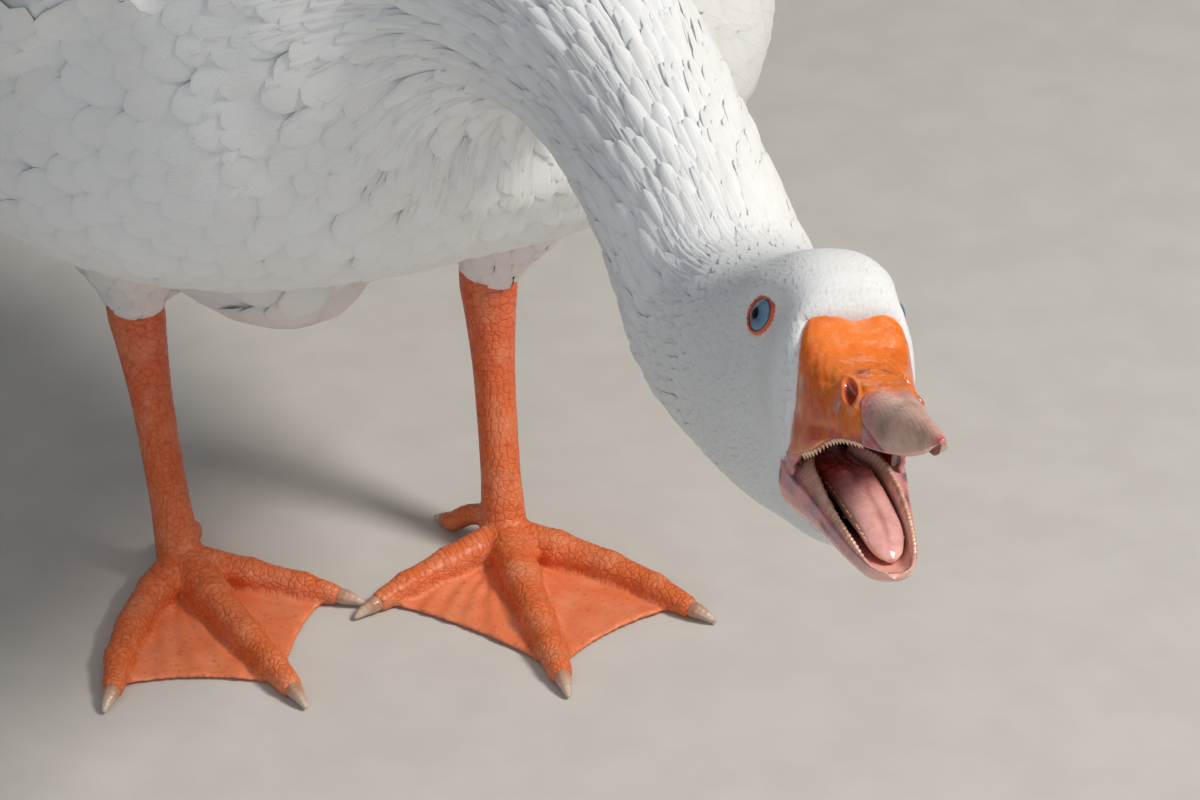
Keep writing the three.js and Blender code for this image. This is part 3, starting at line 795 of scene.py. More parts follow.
@once
def mottle_group(name):
    """Mottle: a colour broken up by patches of another, at a scale in metres."""
    inputs = (("Color", COLOUR, None), ("Patches", COLOUR, None), ("Scale", NUMBER, 100.0),
              ("Amount", NUMBER, 0.5), ("Threshold", NUMBER, 0.5))
    tree, make, given, out = new_group(name, inputs, (("Color", COLOUR), ("Mask", NUMBER)))
    where = make.add("ShaderNodeTexCoord", "Object")
    noise = make.noise(where, given["Scale"], 2, 0.6)
    low = make.math("SUBTRACT", given["Threshold"], 0.12)
    high = make.math("ADD", given["Threshold"], 0.12)
    mask = make.math("MULTIPLY", make.spread(noise, low, high), given["Amount"])
    make.feed(out["Color"], make.blend(mask, given["Color"], given["Patches"]))
    make.feed(out["Mask"], mask)
    return tree


@once
def wrinkle_group(name):
    """Wrinkles: the bumps of damp skin or horn, fine pits over broader creases."""
    inputs = (("Scale", NUMBER, 900.0), ("Strength", NUMBER, 0.3), ("Distance", NUMBER, 0.0003))
    tree, make, given, out = new_group(name, inputs, (("Normal", "NodeSocketVector"), ("Height", NUMBER)))
    where = make.add("ShaderNodeTexCoord", "Object")
    creases = make.noise(where, make.math("MULTIPLY", given["Scale"], 0.25), 3, 0.65)
    pits = make.add("ShaderNodeTexVoronoi", 0, {"feature": "F1"}, Vector=where, Scale=given["Scale"])
    height = make.math("ADD", creases, make.math("MULTIPLY", pits, 0.3))
    make.feed(out["Height"], height)
    make.feed(out["Normal"], make.bump(height, given["Strength"], given["Distance"]))
    return tree


GROUPS = {"mottle": mottle_group, "wrinkles": wrinkle_group}


def new_material(name, **constants):
    """A material with its own Principled shader, its maker and that shader's inputs."""
    material = bpy.data.materials.new(name)
    material.use_nodes = True
    make = Finish(material.node_tree)
    shader = material.node_tree.nodes["Principled BSDF"]
    for key, value in constants.items():
        make.feed(shader.inputs[key.replace("_", " ")], value)
    return material, make, shader.inputs


def feather_material(name):
    """White barbs: fine ribs from each shaft to its edge, over a greyer root, with stains here and there."""
    material, make, shader = new_material(name, Roughness=0.7, Specular_IOR_Level=0.25)
    across, along, chance = make.parts("vane")
    edge = make.math("ABSOLUTE", across)
    slant = make.math("MULTIPLY_ADD", edge, -0.32, along)
    wander = make.math("MULTIPLY", make.math("SINE", make.math("MULTIPLY", chance, 40.0)), edge)
    phase = make.math("MULTIPLY_ADD", slant, 150.0, wander)
    barbs = make.math("SINE", phase)
    shaft = make.spread(edge, 0.0, 0.1, 1.2, 0.0)
    height = make.math("MULTIPLY_ADD", barbs, 0.35, shaft)
    make.feed(shader["Normal"], make.bump(height, 0.22, 0.00025))
    # Painted shade: greyer towards the root, where the feathers lying over it would shade it.
    tone = make.blend(make.spread(along, 0.05, 0.7), (0.74, 0.75, 0.76), (0.83, 0.835, 0.83))
    # Painted shade: darker along each vane's edges, where its neighbours would shadow it.
    tone = make.blend(make.spread(edge, 0.7, 1.0, 0.0, 0.4), tone, (0.62, 0.63, 0.65))
    tone = make.blend(make.spread(chance, 0.6, 1.0, 0.0, 0.35), tone, (0.80, 0.775, 0.72))
    where = make.add("ShaderNodeTexCoord", "Object")
    stain_share = make.spread(make.noise(where, 16.0, 2), 0.5, 0.75, 0.0, 0.25)
    make.feed(shader["Base Color"], make.blend(stain_share, tone, (0.70, 0.66, 0.60)))
    return material


def down_material(name):
    """The fuzzy white down that shows between the feathers."""
    material, make, shader = new_material(name, Roughness=0.9, Sheen_Weight=0.2, Specular_IOR_Level=0.2)
    fuzz = make.group("wrinkles", Scale=700.0, Strength=0.4, Distance=0.0006)
    make.feed(shader["Normal"], fuzz)
    tone = make.group("mottle", Color=(0.82, 0.82, 0.815), Patches=(0.77, 0.76, 0.74), Scale=60.0, Amount=0.5)
    make.feed(shader["Base Color"], tone)
    return material


def wet_material(name, roughness=0.3, scale=900.0, strength=0.35, coat=0.9, glow=0.0):
    """Damp skin or horn coloured by the mesh's tone, broken up by darker and paler patches."""
    material, make, shader = new_material(name, Coat_Weight=coat, Coat_Roughness=0.09, Specular_IOR_Level=0.5,
                                          Subsurface_Weight=glow, Subsurface_Scale=0.003)
    make.feed(shader["Subsurface Radius"], (1.0, 0.35, 0.12))
    tone = make.attribute("tone")
    darker = make.blend(1.0, tone, (0.66, 0.50, 0.44), "MULTIPLY")
    paler = make.blend(0.2, tone, (1.0, 0.86, 0.72))
    tone = make.group("mottle", Color=tone, Patches=darker, Scale=190.0, Amount=0.5, Threshold=0.56)
    tone = make.group("mottle", Color=tone, Patches=paler, Scale=560.0, Amount=0.4, Threshold=0.62)
    make.feed(shader["Base Color"], tone)
    bumps = make.group("wrinkles", None, Scale=scale, Strength=strength, Distance=0.0005)
    sheen = make.spread(bumps.outputs["Height"], 0.4, 0.9, roughness * 0.7, roughness * 1.5)
    make.feed(shader["Roughness"], sheen)
    make.feed(shader["Normal"], bumps.outputs["Normal"])
    make.feed(shader["Coat Normal"], bumps.outputs["Normal"])
    return material


def scale_material(name):
    """Legs and webs: scales where the mesh says so, fine wrinkles between, redder in the creases."""
    material, make, shader = new_material(name, Coat_Weight=0.15, Coat_Roughness=0.3)
    along, around, scaly = make.parts("hide")
    flat = make.add("ShaderNodeCombineXYZ", X=along, Y=around)
    settings = {"feature": "DISTANCE_TO_EDGE", "voronoi_dimensions": "2D"}
    cells = make.add("ShaderNodeTexVoronoi", 0, settings, Vector=flat, Scale=0.36)
    plates = make.math("MULTIPLY", make.spread(cells, 0.0, 0.2), scaly)
    where = make.add("ShaderNodeTexCoord", "Object")
    fine = make.noise(where, 420.0, 2)
    height = make.math("ADD", plates, make.math("MULTIPLY", fine, 0.7))
    make.feed(shader["Normal"], make.bump(height, 0.5, 0.0006))
    tone = make.attribute("tone")
    crease = make.math("MULTIPLY", make.spread(cells, 0.0, 0.1, 0.45, 0.0), scaly)
    tone = make.blend(crease, tone, (0.42, 0.05, 0.012))
    paler = (0.86, 0.36, 0.20)
    tone = make.group("mottle", Color=tone, Patches=paler, Scale=85.0, Amount=0.35, Threshold=0.55)
    tone = make.blend(make.spread(fine, 0.58, 0.72, 0.0, 0.4), tone, (0.30, 0.06, 0.02))
    make.feed(shader["Base Color"], tone)
    make.feed(shader["Roughness"], make.spread(fine, 0.3, 0.7, 0.42, 0.68))
    return material


def eye_material(name):
    """A pale grey-blue iris with streaks, a paler ring and a black pupil, under a clear wet surface."""
    material, make, shader = new_material(name, Roughness=0.04, Specular_IOR_Level=0.4)
    away, turn, _ = make.parts("iris")
    spokes = make.add("ShaderNodeCombineXYZ", X=make.math("MULTIPLY", away, 0.35), Y=turn)
    streak = make.noise(spokes, 6.5, 4, 0.6)
    ring = make.spread(away, 1.9, 4.4)
    tone = make.blend(ring, (0.050, 0.115, 0.19), (0.15, 0.27, 0.40))
    tone = make.blend(make.math("MULTIPLY", make.spread(streak, 0.48, 0.72), 0.45), tone, (0.30, 0.42, 0.50))
    tone = make.blend(make.spread(away, 4.5, 5.0), tone, (0.03, 0.035, 0.04))
    tone = make.blend(make.spread(away, 1.8, 1.65), tone, (0.002, 0.002, 0.0025))
    make.feed(shader["Base Color"], tone)
    return material


def floor_material(name):
    """Matt plaster, faintly patched."""
    material, make, shader = new_material(name, Specular_IOR_Level=0.25)
    tone = make.group("mottle", Color=(0.62, 0.59, 0.55), Patches=(0.56, 0.53, 0.49), Scale=30.0, Amount=0.5)
    make.feed(shader["Base Color"], tone)
    make.feed(shader["Roughness"], 0.8)
    return material


FINISHES = {
    "plumage": ("White plumage", feather_material),
    "down": ("Down", down_material),
    "bill": ("Bill skin", wet_material),
    "mouth": ("Mouth skin", wet_material, 0.2, 1300.0, 0.3, 1.0, 0.15),
    "horn": ("Horn", wet_material, 0.36, 700.0, 0.15, 0.35),
    "legs": ("Leg skin", scale_material),
    "eye": ("Eye", eye_material),
    "floor": ("Floor", floor_material),
}


def finish_of(kind):
    """The material of one kind, made the first time it is asked for."""
    name, build, *values = FINISHES[kind]
    return bpy.data.materials.get(name) or build(name, *values)


# ---------------------------------------------------------------- bill, mouth and tongue


def paint(red, green, blue):
    """A colour given in the usual 0 to 255, as the shaders' linear values."""
    value = np.array((red, green, blue)) / 255
    return np.where(value > 0.04, ((value + 0.055) / 1.055) ** 2.4, value / 12.92)


ORANGE = paint(243, 120, 14)
DEEP_ORANGE = paint(205, 82, 10)
PALE_ORANGE = paint(238, 156, 98)
FLESH = paint(226, 150, 144)
MAUVE = paint(200, 146, 158)
# Painted shade for deep inside the mouth.
MOUTH_SHADE = paint(62, 14, 12)
RED_FLESH = paint(196, 52, 44)
CREAM = paint(230, 202, 168)
TONGUE_PINK = paint(236, 180, 174)
GREY_HORN = paint(128, 112, 92)
TAN_HORN = paint(226, 180, 160)
PINK_HORN = paint(226, 140, 122)
LID_ORANGE = paint(226, 82, 8)


def mix(first, second, share):
    """One colour at share 0 and another at share 1."""
    share = np.asarray(share)[..., None]
    return first * (1 - share) + second * share


def layered(tone, *layers):
    """A colour with others laid over it in turn, each by its share."""
    for colour, share in layers:
        tone = mix(tone, colour, share)
    return tone


def ring_of(half_rings):
    """Whole rings from halves: (rows, points, 2) of (aside, up), the first and last points on the midline."""
    mirrored = half_rings[:, -2:0:-1] * (-1, 1)
    return np.concatenate([half_rings, mirrored], 1)


# How many points of a ring of the upper bill lie on one side of its outer face.
BILL_TOP = 110


def upper_bill_points(rows=250, top=BILL_TOP, under=60):
    """Rings of the upper bill: over the ridge to the biting edge, and back under it along the palate."""
    loft = Loft(UPPER_BILL, upright=True)
    run = 1 - (1 - np.linspace(0, 1, rows)) ** 1.25
    place = 0.35 + (loft.last - 0.35) * run
    outer = loft.rings(place, np.linspace(0, math.pi * 0.56, top))
    rim = outer[:, -1]
    into = np.linspace(0, 1, under + 1)[1:]
    wide = np.maximum(np.abs(rim[:, 1]) - 1.7, 0.25)
    arch = np.minimum(spline(loft.girth, place)[:, 1] * 0.42, 13) * smooth_step(0, 2.2, loft.last - place)
    aside = wide[:, None] * (1 - into) ** 0.9
    rise = rim[:, 2, None] + 0.5 + arch[:, None] * np.sin(into * math.pi / 2) ** 0.8
    rise = rise - 1.5 * np.exp(-(((into - 0.03) / 0.05) ** 2)) * smooth_step(0.2, 3, arch)[:, None]
    inner = np.stack([np.broadcast_to(rim[:, None, 0], aside.shape), aside, rise], -1)
    half = np.concatenate([outer, inner], 1)
    mirrored = half[:, -2:0:-1] * (1, -1, 1)
    return np.concatenate([half, mirrored], 1)


def out_of(points):
    """Normals of rings of points, pointing out."""
    along = np.gradient(points, axis=0)
    around = np.roll(points, -1, 1) - np.roll(points, 1, 1)
    return unit(np.cross(along, around))


# The middle of the left nostril.
NOSTRIL = (46, 9.2, -19)


def nostril_away(points):
    """Distance from a nostril's middle, 1 on its rim: an upright oval that slants in from the side."""
    run, out, rise = np.moveaxis(points - np.array(NOSTRIL, float), -1, 0)
    length = 0.04 * run - 0.05 * out - 0.32 * rise
    width = 0.18 * run - 0.62 * out + 0.11 * rise
    return np.sqrt(length**2 + width**2 + (run / 8) ** 2)


# Mounds and hollows on both sides of the upper bill: how many millimetres high, middle and reach.
BILL_MOUNDS = (
    (1.5, (49.3, 6.0, -16.6), (3.2, 2.0, 2.6)),
    (1.0, (50.8, 9.4, -21.5), (1.7, 2.4, 3.2)),
    (1.3, (19, 8, 1), (5, 5.5, 3.5)),
    (-0.8, (39.2, 4.4, -13.7), (1.2, 3, 1.4)),
    (-0.7, (41.5, 11.6, -20.2), (1.6, 2.5, 2.4)),
    (-0.5, (35.3, 12.1, -16.6), (2.2, 2, 1.2)),
    (0.8, (30, 15, -33), (9, 3, 2.2)),
    (-0.6, (33, 15, -29), (12, 3, 1.2)),
)


def nostril_shape(points):
    """How far the upper bill rises in mm for its nostrils, their flaps, the forehead's edge and old scars."""
    rise = np.zeros(points.shape[:-1])
    for side in (1, -1):
        here = points * (1, side, 1)
        away = nostril_away(here)
        rim, pit = np.exp(-((away - 1.5) ** 2) * 7), np.exp(-(away ** 4))
        rise += 0.8 * rim - 4.4 * pit + heaped(here, BILL_MOUNDS)
    rise -= 1.5 * mound(points, (21.5, 1.5, -0.5), (3.5, 2.6, 3.5))
    rise += 0.7 * mound(points, (34, 0, -10), (8, 3.2, 5))
    x, y, z = np.moveaxis(points, -1, 0)
    hood = smooth_step(-34, -24, z) * smooth_step(54, 48, x)
    rise += 0.10 * hood * np.sin(x * 1.3 + 2.2 * np.sin(y * 0.5)) * np.sin(y * 0.9 + 1.5 * np.sin(z * 0.4))
    rise += 0.14 * np.sin(x * 2.6) * mound(points, (26, 1.5, -4), (4, 4, 4))
    return rise


def nail_seam(points):
    """How far forward the horny plate at the tip of the upper bill begins, at each point's height."""
    z = points[..., 2]
    return 51.2 + 5.0 * smooth_step(-19, -29, z) + 3.0 * np.exp(-((points[..., 1] / 3.5) ** 2))


def plate_edge(points):
    """How far forward the bare pink skin low on the nail's sides gives way to its hard plate."""
    return np.clip(53.9 - 1.8 * (points[..., 2] + 25.5), 48, 68)


def nail_share(points):
    """1 on the horny plate at the tip of the upper bill, 0 behind its curved seam."""
    return smooth_step(-0.6, 0.6, points[..., 0] - nail_seam(points))


def upper_bill_tone(points):
    """The upper bill's colours: orange, redder low down and round the nostrils, and a grey to tan tip."""
    here = np.concatenate([points[..., :1], np.abs(points[..., 1:2]), points[..., 2:]], -1)
    x, y, z = np.moveaxis(here, -1, 0)
    low_edge = np.interp(x, (15, 30, 37, 50), (-36.4, -34, -31, -31.4))
    rim = nostril_away(here)
    tone = layered(
        ORANGE,
        (DEEP_ORANGE, 0.8 * smooth_step(9, 16, y) * smooth_step(-4, -22, z)),
        (PALE_ORANGE, 0.35 * mound(points, (52, 0, -17), (4, 5, 4))),
        (RED_FLESH, 0.85 * np.exp(-(((z - low_edge) / 1.5) ** 2)) * (np.sin(x * 0.62) > -0.5)),
        (PALE_ORANGE, 0.8 * smooth_step(1.2, 2.2, low_edge - z) * smooth_step(10, 12, y)),
        (RED_FLESH, 0.95 * np.exp(-((rim - 0.95) ** 2) * 14)),
        # Near black inside each nostril: painted shade of the deep hole.
        (paint(30, 4, 4), np.exp(-((rim / 0.72) ** 5))),
        (MAUVE, 0.75 * mound(here, (42.0, 11.4, -22), (1.6, 2.5, 2.6))),
        (paint(96, 60, 56), 0.8 * mound(here, (39.6, 4.0, -13.9), (1.8, 2.4, 1.3))),
        (PALE_ORANGE, 0.7 * mound(points, (22, 1.5, -1), (3.5, 2.8, 4))),
        (CREAM, 0.6 * mound(here, (25, 16.4, -18), (1.3, 2, 2.6))),
        (CREAM, 0.6 * mound(here, (24.6, 16.5, -24.5), (1.2, 2, 2.4))),
    )
    past, plate = x - nail_seam(points), x - plate_edge(points)
    grey = mound(here, (66, 7, -27), (4.2, 3, 3.6)) + 0.5 * mound(points, (69, -3, -22), (3, 3, 2))
    # Pale streaks along the nail: partly the horn's own striations, partly painted highlights along them.
    striations_and_highlights = np.sin(y * 3.1 + 1.7 * np.sin(x * 0.4)) * np.sin(y * 7.3 + x * 0.35 + np.sin(x * 0.9))
    nail = mix(PINK_HORN, TAN_HORN, smooth_step(2, 13, past))
    nail = layered(
        mix(MAUVE * 0.9, nail, smooth_step(-1.2, 0.6, plate)),
        (GREY_HORN, np.minimum(grey, 1) * 0.7 * smooth_step(-0.5, 1.5, plate)),
        (paint(238, 214, 196), smooth_step(0.2, 0.9, striations_and_highlights) * 0.35 * smooth_step(8, 16, past)),
        (paint(96, 50, 44), 0.85 * np.exp(-((plate / 0.4) ** 2)) * smooth_step(-24, -26, z)),
        (MAUVE, 0.7 * mound(here, (58, 8, -25), (3, 3, 5))),
        (paint(196, 60, 66), 0.85 * mound(here, (61, 9.4, -32), (3.6, 3, 2.6))),
        (paint(112, 84, 60), 0.6 * smooth_step(66, 72, x) * smooth_step(-34.2, -35.6, z)),
        (paint(206, 56, 60), 0.9 * mound(points, (92.3, 0, -28.6), (2.2, 2.4, 1.8))),
    )
    groove = 0.5 * np.exp(-((past / 0.4) ** 2)) * smooth_step(-17, -20, z)
    return layered(tone, (nail, nail_share(points)), (paint(112, 60, 40), groove))


def upper_bill():
    """The upper bill's skin with its nostrils, seams and nail, and the roof of the mouth."""
    rings = upper_bill_points()
    around = rings.shape[1]
    palate = np.zeros(rings.shape[:2])
    palate[:, BILL_TOP:around - BILL_TOP + 1] = 1
    run, seam = rings[..., 0], nail_share(rings)
    rise = nostril_shape(rings) + (seam - 1) * 0.5 * smooth_step(30, 50, run) - 2.2 * seam * (1 - seam)
    rise += 0.015 * np.sin(rings[..., 1] * 7.3 + run * 0.3) * seam
    rise -= 0.5 * np.exp(-(((run - plate_edge(rings)) / 0.6) ** 2)) * seam
    rise -= 1.5 * smooth_step(0.8, -0.8, run - face_edge(rings[..., 2]))
    rings = rings + out_of(rings) * (rise * (1 - palate))[..., None]
    run = rings[..., 0]
    thing = form_of("bill_upper_skin", HEAD.out(rings), finish_of("bill"))
    # The palate darkens towards the back of the mouth with painted shade.
    roof = layered(MOUTH_SHADE, (FLESH, smooth_step(18, 60, run)), (TAN_HORN, smooth_step(70, 84, run)))
    return coloured(thing, mix(upper_bill_tone(rings), roof, palate), "bill", "bill_upper", "nail")


def lower_bill_rings(rows=150):
    """Rings of the lower bill in the jaw's frame: keel, lip, the ridge of ribs inside it, and the trough."""
    loft = Loft(LOWER_BILL, upright=True)
    place = np.linspace(0.15, loft.last - 0.01, rows)
    centre, girth = spline(loft.centre, place), spline(loft.girth, place)
    run, deep = centre[:, 0], girth[:, 2]
    wide = girth[:, 0] - 5.2 * smooth_step(14, 1, run)
    full = smooth_step(0, 0.5, loft.last - place)
    ridge_at = np.interp(run, (2, 12, 18, 30, 42, 60), (0.42, 0.52, 0.62, 0.76, 0.84, 0.88))
    ridge = np.interp(run, (2, 14, 30, 52, 62), (1, 3.4, 3.6, 2.6, 1.2)) * full
    floor = np.maximum(deep - 2.8, 0.4)
    zero, one = np.zeros(rows), np.ones(rows)
    controls = [
        (zero, -deep), (0.42 * wide, -deep * 0.97), (0.78 * wide, -deep * 0.74), (0.96 * wide, -deep * 0.38),
        (1.0 * wide, -0.6 * one), (0.985 * wide, 0.9 * full), (0.5 * (1 + ridge_at) * wide, 0.6 * full),
        (ridge_at * wide + 0.5, ridge), ((ridge_at - 0.05) * wide, ridge * 0.86),
        ((ridge_at - 0.13) * wide, -0.25 * floor), (0.55 * ridge_at * wide, -0.85 * floor), (zero, -floor),
    ]
    table = np.array([np.stack(pair, -1) for pair in controls])
    steps = np.linspace(0, len(controls) - 1, 78)
    half = np.stack([spline(table[:, row], steps) for row in range(rows)])
    half[:, 0, 0] = half[:, -1, 0] = 0
    rings = ring_of(half)
    rings = np.stack([np.broadcast_to(run[:, None], rings.shape[:2]), rings[..., 0], rings[..., 1]], -1)
    rings[..., 2] += centre[:, None, 2]
    return rings, np.concatenate([steps, steps[-2:0:-1]])


def lower_bill():
    """The lower bill's skin, with the ribs inside its edge and the trough that the tongue lies in."""
    rings, part = lower_bill_rings()
    run = rings[..., 0]
    on_ridge = np.exp(-(((part - 7.4) / 1.1) ** 2))[None] * smooth_step(6, 12, run) * smooth_step(61, 54, run)
    ribs = np.sin(run * 2 * math.pi / 1.55 + rings[..., 1] * 0.15)
    rings = rings + out_of(rings) * (on_ridge * ribs * 0.42)[..., None]
    smudge = smooth_step(0.35, 0.8, np.sin(run * 0.33 + 0.8) * np.cos(part * 1.9 + run * 0.15))
    mauve = mix(MAUVE, FLESH, 0.5 + 0.5 * np.sin(run * 0.5 + 1))
    mauve = mix(mauve, paint(112, 92, 84), 0.75 * smudge * smooth_step(50, 40, run))
    tone = layered(
        ORANGE,
        (DEEP_ORANGE, 0.5 * smooth_step(1.0, 0.2, part)[None]),
        (RED_FLESH, np.exp(-(((part - 2.75) / 0.35) ** 2))[None]),
        (mauve, smooth_step(2.7, 3.2, part)[None]),
        (FLESH, 0.6 * smooth_step(5.4, 6.2, part)[None] * smooth_step(40, 10, run)),
        (paint(240, 194, 164), on_ridge),
        (paint(176, 112, 84), 0.4 * on_ridge * smooth_step(-0.2, -0.9, ribs)),
        # The trough darkens towards the back of the mouth with painted shade.
        (mix(MOUTH_SHADE, FLESH, smooth_step(26, 58, run)), smooth_step(8.2, 8.9, part)[None]),
        (paint(240, 188, 172), 0.85 * smooth_step(52, 60, run)),
    )
    thing = form_of("bill_lower_skin", HEAD.out(jaw_to_head(rings)), finish_of("bill"))
    return coloured(thing, tone, "bill", "bill_lower")


def jaw_to_head(points):
    """Points of the jaw's frame, in the head's."""
    return np.asarray(points, float) @ turned(pitch=-JAW_DROP).T + JAW_AT


def tongue_lean(points):
    """How far the tongue is pushed over to the goose's left, in the jaw's frame."""
    over = 2.6 * smooth_step(4, 26, points[..., :1]) - 0.8 * smooth_step(40, 56, points[..., :1])
    return over * (0.0, 1.0, 0.12)


def tongue():
    """A fleshy tongue with a groove down its middle, spines along its sides and swollen lobes at its root."""
    loft = Loft(TONGUE, upright=True)
    angles = circle(96)
    rings = loft.rings(np.linspace(0.05, loft.last - 0.01, 150), angles)
    run, aside = rings[..., 0], np.abs(rings[..., 1])
    top = smooth_step(0.1, 0.8, np.cos(angles))[None]
    groove = np.exp(-((aside / 0.9) ** 2)) * top
    rise = -1.0 * groove * smooth_step(22, 28, run) * smooth_step(52, 45, run)
    rise += 1.8 * np.exp(-(((run - 19) / 4) ** 2) - ((aside - 3) / 2.2) ** 2) * top
    rise += 0.12 * np.sin(run * 2.1 + aside) * top * smooth_step(30, 15, run)
    rings = rings + out_of(rings) * rise[..., None]
    rings = rings + tongue_lean(rings)
    thing = form_of("tongue_flesh", HEAD.out(jaw_to_head(rings)), finish_of("mouth"))
    sides = smooth_step(0.75, 1.0, np.abs(np.sin(angles)))[None] * smooth_step(24, 32, run)
    tone = mix(RED_FLESH * 0.7, TONGUE_PINK, smooth_step(14, 34, run))
    tone = layered(tone, (CREAM, 0.6 * sides), (FLESH * 0.9, 0.5 * groove))
    return coloured(thing, tone, "tongue", "tongue")


def spikes(name, table, sides=6, rings=5):
    """Small curved cones: where each starts, its direction, length and radius, and where it bends to."""
    tips, ways, lengths, radii, bend = (np.array(values, float) for values in zip(*table))
    share = np.linspace(0, 1, rings)
    ways = unit(ways)
    centre = tips[:, None] + ways[:, None] * (lengths[:, None] * share)[..., None]
    centre = centre + bend[:, None] * (lengths[:, None] * share**2)[..., None]
    first = unit(np.cross(ways, (0.3, 0.9, 0.2)))
    second = np.cross(ways, first)
    angle = circle(sides)[:, None]
    spoke = first[:, None] * np.cos(angle) + second[:, None] * np.sin(angle)
    rays = spoke[:, None] * (radii[:, None] * (1 - 0.93 * share**1.3))[..., None, None]
    return mesh_of(name, centre[:, :, None] + rays, closed_faces(rings, sides, len(tips)))


def mouth_spikes(rng):
    """The cream serrations inside the upper bill's edge, and the spines along the tongue."""
    table = []
    bill, tongue_form = Loft(UPPER_BILL, upright=True), Loft(TONGUE, upright=True)
    for side in (1, -1):
        for run in np.arange(23.5, 55, 1.8):
            edge = bill.point(bill.place_at(run), side * math.pi * 0.56)
            table.append((HEAD.out(edge + (0, -side * 1.1, 0.9)), HEAD.ways((-0.12, -side * 0.25, -1)),
                          (3.1 - 0.016 * run + 0.3 * rng.random()) * MM, 0.9 * MM,
                          HEAD.ways((-0.25, -side * 0.15, 0))))
        for run in np.cumsum(rng.uniform(1.4, 2.8, 18)) + 11:
            edge = tongue_form.point(tongue_form.place_at(run), side * 1.45)
            edge = edge + tongue_lean(edge) - (0, side * 0.7, 0)
            table.append((HEAD.out(jaw_to_head(edge)), JAW.ways((rng.uniform(-1.2, -0.5), side * 0.8, 0.4)),
                          rng.uniform(1.1, 2.1) * MM, rng.uniform(0.35, 0.6) * MM, JAW.ways((-0.4, 0, -0.1))))
    mesh = spikes("mouth_spines", table)
    thing = new_object("mouth_spines", mesh, finish_of("horn"))
    return coloured(thing, np.tile(CREAM * 1.05, (len(mesh.vertices), 1)), "tongue")


def cave_depth(aside, up):
    """How far forward the back of the mouth is, in the head's frame; 99 where there is no mouth."""
    inside = 1 - (aside / 13.6) ** 2 - ((up + 38) / 17.5) ** 2
    return np.where(inside > 0, 17 - 24 * np.sqrt(np.maximum(inside, 0)), 99.0)


def throat():
    """The dark wet lining at the back of the mouth, from the palate down to the tongue's root."""
    r, a = np.meshgrid(np.sin(np.linspace(0.02, 1, 40) * math.pi / 2), circle(64), indexing="ij")
    back = 17.5 - 22.5 * np.sqrt(1 - r**2) + 0.4 * np.sin(a * 9) * r
    sheet = np.stack([back, 13.6 * r * np.cos(a), -38 + 17.5 * r * np.sin(a)], -1)
    rings = np.concatenate([sheet, sheet[::-1] - (0.8, 0, 0)])[:, ::-1]
    thing = form_of("throat_lining", HEAD.out(rings), finish_of("mouth"))
    # Red flesh under painted shade that deepens towards the back of the throat.
    tone = mix(RED_FLESH * 0.55, MOUTH_SHADE * 0.35, smooth_step(14, -4, rings[..., 0]))
    return coloured(thing, tone, "tongue")


# The lines that the corner of the mouth's skin runs between: along the upper bill in the head's frame, and
# along the lower one in the jaw's. Then how far back the skin is drawn at each of the lines' points.
GAPE_TOP = ((11, 16.9, -37.5), (16, 16.9, -37.6), (20.5, 16.6, -37.6), (25, 15.6, -37))
GAPE_LOW = ((4, 13.6, -3), (10, 16.3, -2.4), (15.5, 17.5, -2), (21.5, 16.4, -1.0))
GAPE_DRAWN = (0.0, 0.5, 1.4, 3.6)


def gape():
    """The folds of bare skin that join the two bills at the corners of the mouth."""
    top, low = np.array(GAPE_TOP), jaw_to_head(GAPE_LOW)
    for side in (1, -1):
        rows = []
        for share in np.linspace(0, 1, 34):
            hollow = math.sin(share * math.pi)
            line = top * (1 - share) + low * share
            pull = np.array(GAPE_DRAWN)[:, None] * hollow * np.array((-1.0, 0.15, 0))
            line = spline(line + pull, np.linspace(0, 3, 26))
            line[:, 1] += 0.28 * np.sin(share * 19) * np.linspace(0.3, 1, 26) * hollow
            rows.append(line)
        sheet = np.array(rows) * (1, side, 1)
        rings = np.concatenate([sheet, sheet[:, ::-1] - (0.3, side * 1.3, 0)], 1)[:, ::side]
        run = rings[..., 0]
        thing = form_of(f"gape_{side_name(side)}", HEAD.out(rings), finish_of("bill"))
        tone = mix(mix(ORANGE, FLESH, 0.5), mix(MAUVE, FLESH, 0.5), smooth_step(7, 12, run))
        coloured(thing, mix(tone, RED_FLESH, smooth_step(18, 22, run) * 0.5), "bill")


# ---------------------------------------------------------------- eyes


def eye_axes(side):
    """Where an eye's lids lie in the head's frame, and the turn that takes Z to where it looks."""
    look = unit(np.array(EYE_LOOK) * (1, side, 1))
    first = unit(np.cross((1.0, 0, 0.2), look))
    return np.array(EYE_AT) * (1, side, 1), look, np.stack([first, np.cross(look, first), look], -1)


def eyeball(side):
    """A ball that bulges a little over its iris."""
    at, look, turn = eye_axes(side)
    tilt = np.concatenate([np.linspace(1.9, 0.75, 12), np.linspace(0.72, 0.004, 48)])
    t, a = np.meshgrid(tilt, circle(96), indexing="ij")
    radius = EYE_RADIUS - 0.35 + 0.55 * smooth_step(0.62, 0.1, t)
    ball = np.stack([radius * np.sin(t) * np.cos(a), radius * np.sin(t) * np.sin(a), radius * np.cos(t)], -1)
    rings = (ball @ turn.T + at - look * EYE_SUNK)[:, ::-1]
    thing = form_of(f"eyeball_{side_name(side)}", HEAD.out(rings), finish_of("eye"))
    mark(thing.data, "iris", np.stack([EYE_RADIUS * np.sin(t), a, 0 * a], -1)[:, ::-1])
    return finished(thing, "eyes", f"eye_{side_name(side)}")


# The lid's section, from the eyeball over the rim and down under the feathers: away from the eye, and up.
LID_SECTION = ((4.7, -1.4), (4.85, -0.3), (5.05, 0.3), (5.4, 0.5), (5.75, 0.3), (6.0, -0.3), (7.2, -0.9),
               (8.2, -2.6), (6.5, -3.4), (4.9, -2.6), (4.7, -1.4))


